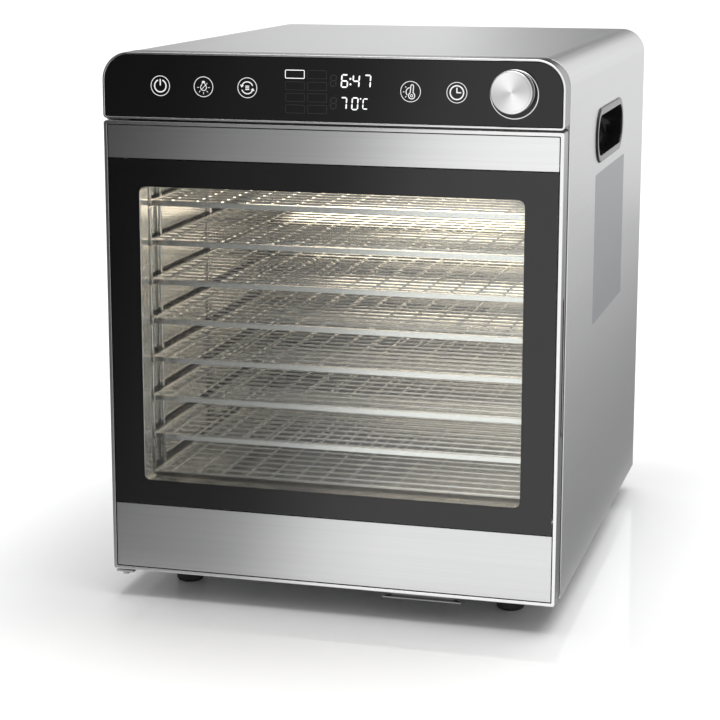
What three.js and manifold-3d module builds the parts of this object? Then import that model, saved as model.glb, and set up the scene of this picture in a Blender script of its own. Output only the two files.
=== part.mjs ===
// Eight-tray cabinet food dehydrator with a side-hinged glass door.
// Millimetres. x runs to the right, y from the front to the back, z up from the floor.
// Inside the appliance group y = 0 is the door's front face.
import * as THREE from 'three';
import { mergeVertices } from 'three/addons/utils/BufferGeometryUtils.js';
import Module from 'manifold-3d';

const wasm = await Module();
wasm.setup();

// Driving dimensions
const gap = 0.3; // clearance left between neighbouring pieces
const sheet = 1.2; // thickness of the folded steel panels
const cabinet = { halfWidth: 172.5, front: 22, back: 411.6, bottom: 21.1, top: 417.5, corner: 20 };
const mouth = { halfWidth: 155, step: 2, panelHalfWidth: 148, panelBottom: 374, panelTop: 409 };
const vent = { count: 8, pitch: 24, width: 16, bottom: 372, top: 378, airRadius: 46, inletRadius: 9 };
const door = { halfWidth: 172, bottom: 21.5, top: 367.5, depth: 19.5, rim: 2.6, corner: 2 };
const hinge = { x: -165.5, y: 9, pinRadius: 2.5, clearance: 0.3, plate: 1.3, footTop: 19.3, reach: 48 };
const glass = { bottom: 75.2, top: 339.5, thickness: 4, front: 0.4 };
const band = { sheet: 1, foldDepth: 5 };
const windowHole = { halfWidth: 146, bottom: 92, top: 320, corner: 6, innerFront: 14, innerBack: 17 };
const slot = { x: 160, y: 9, bottom: 147, top: 248 };
const seal = { halfWidth: 159.5, bottom: 57.5, top: 342.5, corner: 8, width: 3.5, back: 21.9 };
const magnet = { left: 160.5, right: 168, front: 10, back: 18.2, level: 300, halfHeight: 16 };
const lip = { left: 41, right: 101, front: 4, back: 10, taper: 4, drop: 5 };
const panel = { bottom: 369, top: 418, corner: 21, depth: 21, rim: 1.6, glassBack: 3.3 };
const control = { knobX: 136.2, knobLevel: 395.6, knobRadius: 15, knobFront: -12, knobBack: -0.9 };
const knobRing = { level: 393.4, radius: 17.4, width: 0.9, proud: 0.5 };
const shaft = { radius: 3, hole: 4.5, front: -8, back: 14 };
const display = { left: -36, right: 38, front: 3.6, back: 8, bottom: 377.5, top: 410 };
const board = { left: -140, right: 149, front: 8.3, thickness: 1.6, bottom: 376, top: 411 };
const chamber = { halfWidth: 156, floor: 60, ceiling: 338, front: 24, baffle: 340.6, back: 374.6, wall: 1 };
const tray = { count: 8, pitch: 30.3, topLevel: 302, halfWidth: 151.5, front: 34, back: 328.6, rail: 4 };
const rack = { wire: 3, posts: [44, 320.6], runner: [30, 326.6], bottom: 64, top: 332 };
const fan = { level: 199, radius: 62, front: 345.6, depth: 20, shaftRadius: 3, shaftEnds: [342.6, 397.6] };
const heater = { ringRadius: 80, tubeRadius: 3.2, y: 354.6, turn: 372.6, end: 392.6, endSpread: 9 };
const motor = { nose: 379.6, shoulder: 382.6, back: 404.6, noseRadius: 14, radius: 27 };
const bracket = { spacer: 376.3, front: 377.6, back: 379.2, halfWidth: 62, halfHeight: 12 };
const probe = { x: -122, front: 326.6, back: 360.6, radius: 2 };
const cover = { halfWidth: 95, halfHeight: 95, back: 432.6, corner: 12, slots: 9, slotHalfWidth: 64 };
const grip = { y: 210.4, z: 349.3, length: 131, height: 35.4, wall: 2.2, flange: 3.5, proud: 1.2 };
const gripDepth = { deep: 29, shallow: 10 };
const foot = { x: 129, frontY: 53.5, backY: 373.6, radius: 11.4 };
const gland = { x: 128, z: 52, bore: 4.5, neck: 8.6, collar: 12, tip: 9 };
const lamp = { x: 70, y: 110, radius: 22, housing: 28, height: 26 };
const depthCentre = (control.knobFront + cover.back) / 2;

// Finishes
const finishes = {
  brushedSteel: { color: 0xb9bbbd, roughness: 0.32, metalness: 1 },
  polishedSteel: { color: 0xd2d0cc, roughness: 0.16, metalness: 1 },
  chromeWire: { color: 0xdadada, roughness: 0.12, metalness: 1 },
  satinTrim: { color: 0xcfd0d2, roughness: 0.24, metalness: 1 },
  blackGlass: { color: 0x0b0c0d, roughness: 0.06, metalness: 0 },
  clearGlass: { color: 0x9aa6a6, roughness: 0.04, metalness: 0 },
  blackPlastic: { color: 0x131314, roughness: 0.3, metalness: 0 },
  rubber: { color: 0x101010, roughness: 0.85, metalness: 0 },
  circuitBoard: { color: 0x1f5a35, roughness: 0.55, metalness: 0 },
  zincSteel: { color: 0x9a9c9f, roughness: 0.45, metalness: 1 },
  motorSteel: { color: 0x6f7174, roughness: 0.5, metalness: 0.9 },
  heaterSteel: { color: 0x4b4541, roughness: 0.6, metalness: 0.8 },
};

// Turns a closed geometry into a solid that can be cut and joined.
function solidOf(geometry) {
  const bare = geometry.clone();
  bare.deleteAttribute('normal');
  bare.deleteAttribute('uv');
  const merged = mergeVertices(bare, 1e-3);
  return new wasm.Manifold(
    new wasm.Mesh({
      numProp: 3,
      vertProperties: new Float32Array(merged.attributes.position.array),
      triVerts: new Uint32Array(merged.index.array),
    }),
  );
}

function geometryOf(solid) {
  const mesh = solid.getMesh();
  const geometry = new THREE.BufferGeometry();
  geometry.setAttribute('position', new THREE.BufferAttribute(mesh.vertProperties, 3));
  geometry.setIndex(new THREE.BufferAttribute(mesh.triVerts, 1));
  geometry.computeVertexNormals();
  return geometry;
}

const join = (...solids) => solids.reduce((whole, piece) => whole.add(piece));
const cut = (body, ...tools) => tools.reduce((rest, tool) => rest.subtract(tool), body);

// A block between two opposite corners, given in any order along each axis.
function block(xs, ys, zs) {
  const spans = [xs, ys, zs].map(([a, b]) => [Math.min(a, b), Math.max(a, b)]);
  const sizes = spans.map(([low, high]) => high - low);
  const centre = spans.map(([low, high]) => (low + high) / 2);
  return solidOf(new THREE.BoxGeometry(...sizes).translate(...centre));
}

// A shape drawn in (x, z), made solid from y0 to y1.
function alongY(shape, y0, y1, curveSegments = 4) {
  const geometry = new THREE.ExtrudeGeometry(shape, { depth: y1 - y0, bevelEnabled: false, curveSegments });
  return solidOf(geometry.rotateX(Math.PI / 2).translate(0, y1, 0));
}

// A shape drawn in (y, z), made solid from x0 to x1.
function alongX(shape, x0, x1, curveSegments = 6) {
  const geometry = new THREE.ExtrudeGeometry(shape, { depth: x1 - x0, bevelEnabled: false, curveSegments });
  const turn = new THREE.Matrix4().makeBasis(
    new THREE.Vector3(0, 1, 0),
    new THREE.Vector3(0, 0, 1),
    new THREE.Vector3(1, 0, 0),
  );
  return solidOf(geometry.applyMatrix4(turn).translate(x0, 0, 0));
}

// A shape drawn in (x, y), made solid from z0 to z1.
function alongZ(shape, z0, z1, curveSegments = 4) {
  const geometry = new THREE.ExtrudeGeometry(shape, { depth: z1 - z0, bevelEnabled: false, curveSegments });
  return solidOf(geometry.translate(0, 0, z0));
}

// A rectangle with its own radius for the top pair and the bottom pair of corners.
function roundedRectangle(halfWidth, bottom, top, topRadius, bottomRadius = topRadius) {
  const shape = new THREE.Shape();
  shape.moveTo(-halfWidth + bottomRadius, bottom);
  shape.lineTo(halfWidth - bottomRadius, bottom);
  shape.absarc(halfWidth - bottomRadius, bottom + bottomRadius, bottomRadius, -Math.PI / 2, 0);
  shape.lineTo(halfWidth, top - topRadius);
  shape.absarc(halfWidth - topRadius, top - topRadius, topRadius, 0, Math.PI / 2);
  shape.lineTo(-halfWidth + topRadius, top);
  shape.absarc(-halfWidth + topRadius, top - topRadius, topRadius, Math.PI / 2, Math.PI);
  shape.lineTo(-halfWidth, bottom + bottomRadius);
  shape.absarc(-halfWidth + bottomRadius, bottom + bottomRadius, bottomRadius, Math.PI, 1.5 * Math.PI);
  return shape;
}

// A slot outline with half-round ends, centred on (0, z).
function obround(length, height, z) {
  const radius = height / 2;
  const reach = length / 2 - radius;
  const shape = new THREE.Shape();
  shape.absarc(reach, z, radius, -Math.PI / 2, Math.PI / 2);
  shape.absarc(-reach, z, radius, Math.PI / 2, 1.5 * Math.PI);
  return shape;
}

// A round bar along y, centred on (x, z).
function rodY(radius, x, z, y0, y1, sides = 20) {
  const bar = new THREE.CylinderGeometry(radius, radius, y1 - y0, sides);
  return solidOf(bar.translate(x, (y0 + y1) / 2, z));
}

// A round bar along z, centred on (x, y).
function rodZ(radius, x, y, z0, z1, sides = 20) {
  const bar = new THREE.CylinderGeometry(radius, radius, z1 - z0, sides);
  return solidOf(bar.rotateX(Math.PI / 2).translate(x, y, (z0 + z1) / 2));
}

// A turned piece: the profile is a list of (radius, distance along the axis).
function turned(profile, segments = 24) {
  const points = profile.map(([radius, along]) => new THREE.Vector2(radius, along));
  return solidOf(new THREE.LatheGeometry(points, segments));
}

const appliance = new THREE.Group();
appliance.position.y = -depthCentre;

function addPart(name, solid, finish, parent = appliance) {
  const mesh = new THREE.Mesh(geometryOf(solid), new THREE.MeshStandardMaterial(finishes[finish]));
  mesh.name = name;
  parent.add(mesh);
  return mesh;
}

// ---- Cabinet shell ----

// Top and both sides folded from one sheet, open at the front, back and bottom.
function outerWrapper() {
  const { halfWidth, front, back, bottom, top, corner } = cabinet;
  const outer = roundedRectangle(halfWidth, bottom - corner, top, corner, 0);
  const inner = roundedRectangle(halfWidth - sheet, bottom - 2 * corner, top - sheet, corner - sheet, 0);
  const shell = cut(
    alongY(outer, front, back),
    alongY(inner, front - 1, back + 1),
    block([-halfWidth - 1, halfWidth + 1], [front - 1, back + 1], [bottom - 3 * corner, bottom]),
  );
  const hole = obround(grip.length + 2 * gap, grip.height + 2 * gap, grip.z);
  const gripHoles = alongX(hole, -halfWidth - 5, halfWidth + 5).translate([0, grip.y, 0]);
  return cut(shell, gripHoles);
}

// The bottom sheet with a turned-up flange on each side.
function basePan() {
  const z0 = cabinet.bottom + gap;
  const halfWidth = cabinet.halfWidth - sheet - gap;
  const ys = [cabinet.front + gap, cabinet.back - sheet - 2 * gap];
  const flange = (side) => block([side * (halfWidth - sheet), side * halfWidth], [ys[0] + 4, ys[1] - 2], [z0, 34]);
  return join(block([-halfWidth, halfWidth], ys, [z0, z0 + sheet]), flange(-1), flange(1));
}

// The flat face behind the door: a frame round the drying chamber and the control opening.
function frontFrame() {
  const y0 = cabinet.front + gap;
  const z0 = cabinet.bottom + sheet + 2 * gap;
  const ys = [y0 - 1, y0 + sheet + 1];
  const outline = roundedRectangle(
    cabinet.halfWidth - sheet - gap,
    z0,
    cabinet.top - sheet - gap,
    cabinet.corner - sheet - gap,
    1,
  );
  return cut(
    alongY(outline, y0, y0 + sheet),
    block([-mouth.halfWidth, mouth.halfWidth], ys, [chamber.floor + mouth.step, chamber.ceiling]),
    block([-mouth.panelHalfWidth, mouth.panelHalfWidth], ys, [mouth.panelBottom, mouth.panelTop]),
  );
}

// The back sheet with vent slots at the top, an air hole behind the motor and the inlet hole.
function rearPanel() {
  const y1 = cabinet.back - gap;
  const y0 = y1 - sheet;
  const outline = roundedRectangle(
    cabinet.halfWidth - sheet - gap,
    cabinet.bottom + sheet + 2 * gap,
    cabinet.top - sheet - gap,
    cabinet.corner - sheet - gap,
    1,
  );
  const vents = [];
  for (let i = 0; i < vent.count; i += 1) {
    const x = (i - (vent.count - 1) / 2) * vent.pitch;
    vents.push(block([x - vent.width / 2, x + vent.width / 2], [y0 - 1, y1 + 1], [vent.bottom, vent.top]));
  }
  const airHole = rodY(vent.airRadius, 0, fan.level, y0 - 1, y1 + 1, 20);
  const inletHole = rodY(vent.inletRadius, gland.x, gland.z, y0 - 1, y1 + 1, 16);
  return cut(alongY(outline, y0, y1), airHole, inletHole, ...vents);
}

// A shallow pan over the motor, slotted in its back face and open towards the rear panel.
function fanCover() {
  const { halfWidth, halfHeight, back, corner, slots, slotHalfWidth } = cover;
  const y0 = cabinet.back + gap;
  const shape = (inset) =>
    roundedRectangle(halfWidth - inset, fan.level - halfHeight + inset, fan.level + halfHeight - inset, corner - inset);
  const pan = cut(alongY(shape(0), y0, back, 3), alongY(shape(sheet), y0 - 1, back - sheet, 3));
  const pitch = (1.6 * halfHeight) / (slots - 1);
  const cuts = [];
  for (let i = 0; i < slots; i += 1) {
    const z = fan.level + (i - (slots - 1) / 2) * pitch;
    cuts.push(block([-slotHalfWidth, slotHalfWidth], [back - 3, back + 1], [z - 3, z + 3]));
  }
  return cut(pan, ...cuts);
}

// A finger cup in the side: its floor rises inwards, so the fingers close upwards behind the top edge.
function sideGrip() {
  const { length, height, z, wall, flange, proud } = grip;
  const outerX = cabinet.halfWidth + gap + proud;
  const innerX = outerX - gripDepth.deep;
  const shallowX = outerX - gripDepth.shallow;
  const low = z - height / 2 - 1;
  const high = z + height / 2 + 1;
  const wedge = (inset) => {
    const shape = new THREE.Shape();
    shape.moveTo(outerX + 1, low - 10);
    shape.lineTo(shallowX + inset, low - 10);
    shape.lineTo(shallowX + inset, low + 1 + inset);
    shape.lineTo(innerX + inset, high - 1);
    shape.lineTo(innerX + inset, high + 10);
    shape.lineTo(outerX + 1, high + 10);
    return alongY(shape, -length, length);
  };
  const cup = alongX(obround(length, height, z), innerX, outerX).intersect(wedge(0));
  const rim = alongX(
    obround(length + 2 * flange, height + 2 * flange, z),
    cabinet.halfWidth + gap,
    outerX,
  );
  const pocketOutline = obround(length - 2 * wall, height - 2 * wall, z);
  const pocket = alongX(pocketOutline, innerX + wall, outerX + 1).intersect(wedge(wall));
  return cut(join(cup, rim), pocket);
}

// A rubber foot, turned about z.
function rubberFoot() {
  const r = foot.radius;
  const height = cabinet.bottom;
  const profile = [
    [0, 0],
    [r - 3, 0],
    [r - 1, 2.5],
    [r, height],
    [0, height],
  ];
  return turned(profile, 18);
}

// ---- Drying chamber ----

function chamberWall(side) {
  const { halfWidth, floor, ceiling, front, back, wall } = chamber;
  return block([side * halfWidth, side * (halfWidth + wall)], [front, back], [floor + gap, ceiling - gap]);
}

function chamberFloor() {
  const { halfWidth, floor, front, back, wall } = chamber;
  return block([-halfWidth - wall, halfWidth + wall], [front, back], [floor - wall, floor]);
}

function chamberCeiling() {
  const { halfWidth, ceiling, front, back, wall } = chamber;
  const top = block([-halfWidth - wall, halfWidth + wall], [front, back], [ceiling, ceiling + wall]);
  return cut(top, rodZ(lamp.radius, lamp.x, lamp.y, ceiling - 1, ceiling + wall + 1, 24));
}

// The wall in front of the fan: air is drawn in through the middle and blown out at both sides.
function airBaffle() {
  const { halfWidth, floor, ceiling, baffle, wall } = chamber;
  const inset = 0.4;
  const xs = [-halfWidth + inset, halfWidth - inset];
  const plate = block(xs, [baffle, baffle + wall], [floor + inset, ceiling - inset]);
  const spokes = join(
    block([-3, 3], [baffle - 1, baffle + wall + 1], [fan.level - 70, fan.level + 70]),
    block([-70, 70], [baffle - 1, baffle + wall + 1], [fan.level - 3, fan.level + 3]),
  );
  const intake = cut(rodY(58, 0, fan.level, baffle - 1, baffle + wall + 1, 24), spokes);
  const outlets = [];
  for (let i = 0; i < tray.count; i += 1) {
    const z = tray.topLevel + 12 - i * tray.pitch;
    for (const side of [-1, 1]) {
      outlets.push(block([side * 104, side * 140], [baffle - 1, baffle + wall + 1], [z - 4, z + 4]));
    }
  }
  return cut(plate, intake, ...outlets);
}

// The wall behind the fan, with holes for the shaft and the heater's two ends.
function plenumWall() {
  const { halfWidth, floor, ceiling, back, wall } = chamber;
  const y0 = back + 0.4;
  const xs = [-halfWidth - wall, halfWidth + wall];
  const plate = block(xs, [y0, y0 + wall], [floor - wall, ceiling + wall]);
  const hole = (radius, x, z) => rodY(radius, x, z, y0 - 1, y0 + wall + 1, 16);
  const ringTop = fan.level + heater.ringRadius;
  return cut(plate, hole(6, 0, fan.level), hole(5, -heater.endSpread, ringTop), hole(5, heater.endSpread, ringTop));
}

const trayLevel = (index) => tray.topLevel - index * tray.pitch;

// A wire rack on one side wall: upright wires with one runner under each tray.
function trayRack(side) {
  const { wire, posts, runner, bottom, top } = rack;
  const wallX = chamber.halfWidth - 0.5;
  const uprights = posts.map((y) =>
    block([side * (wallX - wire), side * wallX], [y - wire / 2, y + wire / 2], [bottom, top]),
  );
  const runners = [];
  for (let i = 0; i < tray.count; i += 1) {
    const level = trayLevel(i) - tray.rail / 2 - gap;
    const xs = [side * (wallX - wire + 0.2), side * (wallX - 2 * wire)];
    runners.push(block(xs, runner, [level - wire, level]));
  }
  return join(...uprights, ...runners);
}

// One wire tray about its own level: a flat rail all round, cross wires and two long wires below them.
function wireTray() {
  const { halfWidth, front, back, rail } = tray;
  const ring = cut(
    block([-halfWidth, halfWidth], [front, back], [-rail / 2, rail / 2]),
    block([-halfWidth + rail, halfWidth - rail], [front + rail, back - rail], [-rail, rail]),
  );
  const crossWires = [];
  for (let i = 1; i <= 4; i += 1) {
    const y = front + (i * (back - front)) / 5;
    crossWires.push(block([-halfWidth + 1, halfWidth - 1], [y - 1, y + 1], [-0.6, 1.4]));
  }
  const longWires = [-1, 1].map((side) =>
    block([side * 74, side * 76], [front + 1, back - 1], [-1.8, -0.2]),
  );
  return join(ring, ...crossWires, ...longWires);
}

// ---- Air and heat ----

// A radial impeller: a back disc with a hub and straight blades in front of it.
function fanImpeller() {
  const { front, radius, level, depth, shaftRadius } = fan;
  const bladeCount = 10;
  const pieces = [
    rodY(radius, 0, level, front + depth - 2, front + depth, 24),
    rodY(9, 0, level, front, front + depth, 16),
  ];
  for (let i = 0; i < bladeCount; i += 1) {
    const blade = new THREE.BoxGeometry(radius - 20, 18.5, 1.6);
    blade.translate((radius + 16) / 2, front + 9.5, 0);
    blade.rotateY((i * 2 * Math.PI) / bladeCount);
    pieces.push(solidOf(blade.translate(0, 0, level)));
  }
  return cut(join(...pieces), rodY(shaftRadius + gap, 0, level, front - 1, front + depth + 1, 12));
}

function fanMotor() {
  const { nose, shoulder, back, noseRadius, radius } = motor;
  const body = turned(
    [
      [0, nose],
      [noseRadius, nose],
      [noseRadius, shoulder],
      [radius, shoulder],
      [radius, back],
      [0, back],
    ],
    20,
  ).translate([0, 0, fan.level]);
  return cut(body, rodY(fan.shaftRadius + gap, 0, fan.level, nose - 3, back - 5, 12));
}

// A cross plate on two spacers, which carries the motor behind the plenum wall.
function motorBracket() {
  const { spacer, front, back, halfWidth, halfHeight } = bracket;
  const z = fan.level;
  const plate = block([-halfWidth, halfWidth], [front, back], [z - halfHeight, z + halfHeight]);
  const spacers = [-1, 1].map((side) =>
    block([side * (halfWidth - 12), side * (halfWidth - 2)], [spacer, front + 0.5], [z - 6, z + 6]),
  );
  return cut(join(plate, ...spacers), rodY(8, 0, z, spacer - 1, back + 1, 16));
}

// A sheathed element bent once round the fan, with both ends turned back through the plenum wall.
function heaterCoil() {
  const { ringRadius, tubeRadius, y, turn, end, endSpread } = heater;
  const topZ = fan.level + ringRadius;
  const points = [new THREE.Vector3(endSpread, end, topZ), new THREE.Vector3(endSpread, turn, topZ)];
  const opening = Math.asin(endSpread / ringRadius) + 0.12;
  const bends = 24;
  for (let i = 0; i <= bends; i += 1) {
    const angle = Math.PI / 2 - opening - (i * (2 * Math.PI - 2 * opening)) / bends;
    const x = ringRadius * Math.cos(angle);
    points.push(new THREE.Vector3(x, y, fan.level + ringRadius * Math.sin(angle)));
  }
  points.push(new THREE.Vector3(-endSpread, turn, topZ), new THREE.Vector3(-endSpread, end, topZ));
  const section = new THREE.Shape();
  section.absarc(0, 0, tubeRadius, 0, 2 * Math.PI);
  const path = new THREE.CatmullRomCurve3(points);
  const tube = new THREE.ExtrudeGeometry(section, {
    steps: 44,
    curveSegments: 3,
    bevelEnabled: false,
    extrudePath: path,
  });
  return solidOf(tube);
}

function thermalCutoff() {
  const z = fan.level - 70;
  const y = bracket.spacer;
  return join(rodY(9, 60, z, y, y + 6.3, 16), block([52, 55], [y + 3.3, y + 12.3], [z - 2, z + 2]));
}

// The probe reaches through an outlet slot of the baffle into the chamber.
function tempSensor() {
  const { x, front, back, radius } = probe;
  const z = tray.topLevel + 12;
  return join(rodY(radius, x, z, front, back, 12), block([x - 6, x + 6], [back, back + 4], [z - 3, z + 3]));
}

// ---- Chamber lamp ----

function lampHousing() {
  const { x, y, housing, height } = lamp;
  const z0 = chamber.ceiling + chamber.wall + gap;
  const outer = rodZ(housing, x, y, z0, z0 + height, 24);
  return cut(outer, rodZ(housing - 2, x, y, z0 - 1, z0 + height - 2, 24));
}

function lampLens() {
  const z0 = chamber.ceiling - 1.5;
  return rodZ(lamp.radius - gap, lamp.x, lamp.y, z0, z0 + chamber.wall + 4.5, 24);
}

// ---- Control panel ----

const panelOutline = (inset) =>
  roundedRectangle(
    door.halfWidth + 0.2 - inset,
    panel.bottom + inset,
    panel.top - inset,
    panel.corner - inset,
    3 - Math.min(inset, 2),
  );

function controlBezel() {
  return cut(alongY(panelOutline(0), 0, panel.depth), alongY(panelOutline(panel.rim), -1, panel.depth + 1));
}

// The hole that passes the knob's shaft through a plate between y0 and y1.
const shaftHole = (y0, y1) => rodY(shaft.hole, control.knobX, control.knobLevel, y0, y1, 16);

function controlGlass() {
  return cut(alongY(panelOutline(panel.rim + gap), gap, panel.glassBack), shaftHole(-1, 5));
}

function displayModule() {
  const { left, right, front, back, bottom, top } = display;
  return block([left, right], [front, back], [bottom, top]);
}

function displayBoard() {
  const { left, right, front, thickness, bottom, top } = board;
  const plate = block([left, right], [front, front + thickness], [bottom, top]);
  return cut(plate, shaftHole(front - 1, front + thickness + 1));
}

function rotaryEncoder() {
  const { knobX, knobLevel } = control;
  const y0 = board.front + board.thickness + gap;
  const body = block([knobX - 7, knobX + 7], [y0, y0 + 7.8], [knobLevel - 7, knobLevel + 7]);
  return cut(body, rodY(shaft.radius + gap, knobX, knobLevel, y0 - 1, shaft.back + 1, 12));
}

function encoderShaft() {
  return rodY(shaft.radius, control.knobX, control.knobLevel, shaft.front, shaft.back, 16);
}

// The cap, hollow at the back, turned about y.
function knobCap() {
  const { knobX, knobLevel, knobRadius: r, knobFront, knobBack } = control;
  const hollow = knobBack - 3.3;
  const body = turned(
    [
      [0, knobFront],
      [r - 0.9, knobFront],
      [r, knobFront + 0.9],
      [r, knobBack],
      [r - 2, knobBack],
      [r - 2, hollow],
      [0, hollow],
    ],
    28,
  ).translate([knobX, 0, knobLevel]);
  const boss = rodY(5, knobX, knobLevel, hollow - 1, knobBack, 16);
  return cut(join(body, boss), rodY(shaft.radius + gap, knobX, knobLevel, shaft.front - 1, 1, 16));
}

// A thin trim ring on the glass round the knob.
function trimRing() {
  const { level, radius, width, proud } = knobRing;
  const x = control.knobX;
  return cut(rodY(radius, x, level, -proud, 0, 28), rodY(radius - width, x, level, -proud - 1, 1, 28));
}

function powerBoard() {
  const board = block([-135, -25], [150, 250], [352, 353.6]);
  const parts = [
    block([-128, -100], [160, 190], [353, 378]),
    block([-90, -70], [165, 185], [353, 370]),
    block([-60, -34], [160, 200], [353, 373]),
    block([-125, -105], [215, 240], [353, 366]),
    block([-88, -40], [222, 240], [353, 363]),
  ];
  return join(board, ...parts);
}

// A grommet with a through hole, where the supply lead enters.
function cordGland() {
  const { x, z, bore, neck, collar, tip } = gland;
  const y0 = cabinet.back + gap;
  return turned(
    [
      [bore, y0 - 6],
      [neck, y0 - 6],
      [neck, y0],
      [collar, y0],
      [collar, y0 + 2.5],
      [tip, y0 + 5],
      [bore, y0 + 5],
      [bore, y0 - 6],
    ],
    14,
  ).translate([x, 0, z]);
}

// ---- Door ----

const pinHole = (z0, z1) => rodZ(hinge.pinRadius + hinge.clearance, hinge.x, hinge.y, z0, z1, 16);

// The rectangular frame round the door, with a finger slot in its right side.
function doorFrame() {
  const { halfWidth, bottom, top, depth, rim, corner } = door;
  const outline = roundedRectangle(halfWidth, bottom, top, corner);
  const opening = roundedRectangle(halfWidth - rim, bottom + rim, top - rim, 0.8);
  return cut(
    alongY(outline, 0, depth, 2),
    alongY(opening, -1, depth + 1, 1),
    block([slot.x, halfWidth + 1], [slot.y, depth + 1], [slot.bottom, slot.top]),
    pinHole(bottom - 1, bottom + rim + 1),
    pinHole(top - rim - 1, top + 1),
  );
}

const doorPanelHalfWidth = door.halfWidth - door.rim - 0.6;

function doorGlass() {
  const { bottom, top, front, thickness } = glass;
  return block([-doorPanelHalfWidth, doorPanelHalfWidth], [front, front + thickness], [bottom, top]);
}

// A steel band folded back along its top and bottom edges.
function doorBand(z0, z1) {
  const xs = [-doorPanelHalfWidth, doorPanelHalfWidth];
  const y0 = glass.front;
  const face = block(xs, [y0, y0 + band.sheet], [z0, z1]);
  const upperFold = block(xs, [y0, y0 + band.foldDepth], [z1 - band.sheet, z1]);
  const lowerFold = block(xs, [y0, y0 + band.foldDepth], [z0, z0 + band.sheet]);
  return join(face, upperFold, lowerFold);
}

// The door's back sheet, with a lip turned forward round the window and a pocket behind the finger slot.
function doorLiner() {
  const { halfWidth, bottom, top, corner } = windowHole;
  const lipFront = glass.front + glass.thickness + gap;
  const y1 = door.depth;
  const edge = door.halfWidth - door.rim - gap;
  const back = block([-edge, edge], [y1 - 1, y1], [door.bottom + door.rim + gap, door.top - door.rim - gap]);
  const lip = alongY(roundedRectangle(halfWidth + 1, bottom - 1, top + 1, corner + 1), lipFront, y1, 2);
  const hole = alongY(roundedRectangle(halfWidth, bottom, top, corner), 0, y1 + 1, 2);
  const pocket = block([slot.x - 1, edge], [slot.y - 1, y1], [slot.bottom - 1, slot.top + 1]);
  const scoop = block([slot.x, edge + 1], [slot.y, y1 + 1], [slot.bottom, slot.top]);
  return cut(join(back, lip, pocket), hole, scoop);
}

function doorInnerGlass() {
  const { halfWidth, bottom, top, corner, innerFront, innerBack } = windowHole;
  const outline = roundedRectangle(halfWidth - gap, bottom + gap, top - gap, corner - gap);
  return alongY(outline, innerFront, innerBack, 2);
}

function doorSeal() {
  const { halfWidth, bottom, top, corner, width, back } = seal;
  const outer = roundedRectangle(halfWidth, bottom, top, corner);
  const inner = roundedRectangle(halfWidth - width, bottom + width, top - width, corner - width);
  return cut(alongY(outer, door.depth + gap, back, 2), alongY(inner, door.depth, back + 1, 2));
}

function doorMagnet() {
  const { left, right, front, back, level, halfHeight } = magnet;
  return block([left, right], [front, back], [level - halfHeight, level + halfHeight]);
}

// A short folded lip under the door's lower edge.
function doorLip() {
  const { left, right, front, back, taper, drop } = lip;
  const z1 = door.bottom - gap;
  const shape = new THREE.Shape();
  shape.moveTo(left, front);
  shape.lineTo(right, front);
  shape.lineTo(right - taper, back);
  shape.lineTo(left + taper, back);
  const web = block([left + taper + 2, right - taper - 2], [back - 1.2, back], [z1 - drop, z1]);
  return join(alongZ(shape, z1 - drop, z1 - drop + 1), web);
}

// ---- Hinges and catch ----

function hingeBracketLower() {
  const { x, y, plate, footTop, reach } = hinge;
  const xs = [x - 6, x + 8];
  const rise = cabinet.front + 2;
  const mountTop = cabinet.bottom - gap;
  const arm = block(xs, [y - 5, rise + plate], [footTop - plate, footTop]);
  const step = block(xs, [rise, rise + plate], [footTop - plate, mountTop]);
  const mount = block(xs, [rise, reach], [mountTop - plate, mountTop]);
  return cut(join(arm, step, mount), pinHole(footTop - 3, footTop + 1));
}

// A thin plate in the gap above the door, turned up behind the control panel.
function hingeBracketUpper() {
  const { x, y } = hinge;
  const z0 = door.top + 0.4;
  const arm = block([x - 5, x + 12], [y - 5, cabinet.front - gap / 2], [z0, z0 + 0.7]);
  const tab = block([x + 2, x + 12], [panel.depth + gap, cabinet.front - gap / 2], [z0, z0 + 12]);
  return cut(join(arm, tab), pinHole(z0 - 1, z0 + 2));
}

// A shouldered pin that stands in the bracket and carries the door.
function hingePinLower() {
  const { x, y, pinRadius, footTop } = hinge;
  const shoulder = rodZ(4.2, x, y, footTop + gap, door.bottom - gap, 16);
  return join(rodZ(pinRadius, x, y, footTop - 4, footTop + 10.7, 16), shoulder);
}

function hingePinUpper() {
  const { x, y, pinRadius } = hinge;
  return rodZ(pinRadius, x, y, door.top - 12.5, door.top + 1.1, 16);
}

function strikePlate() {
  const { left, right, level, halfHeight } = magnet;
  const zs = [level - halfHeight - 2, level + halfHeight + 2];
  return block([left - 0.2, right + 0.2], [cabinet.front - 0.8, cabinet.front], zs);
}

// ---- Assembly ----

addPart('outer_wrapper', outerWrapper(), 'brushedSteel');
addPart('base_pan', basePan(), 'zincSteel');
addPart('front_frame', frontFrame(), 'polishedSteel');
addPart('rear_panel', rearPanel(), 'zincSteel');
addPart('fan_cover', fanCover(), 'brushedSteel');

for (const [name, turn] of [['side_grip_right', 0], ['side_grip_left', Math.PI]]) {
  const mesh = addPart(name, sideGrip(), 'blackPlastic');
  mesh.position.y = grip.y;
  mesh.rotation.z = turn;
}

for (const [depthName, y] of [['front', foot.frontY], ['rear', foot.backY]]) {
  for (const [sideName, side] of [['left', -1], ['right', 1]]) {
    const mesh = addPart(`foot_${depthName}_${sideName}`, rubberFoot(), 'rubber');
    mesh.rotation.x = Math.PI / 2;
    mesh.position.set(side * foot.x, y, 0);
  }
}

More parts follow.
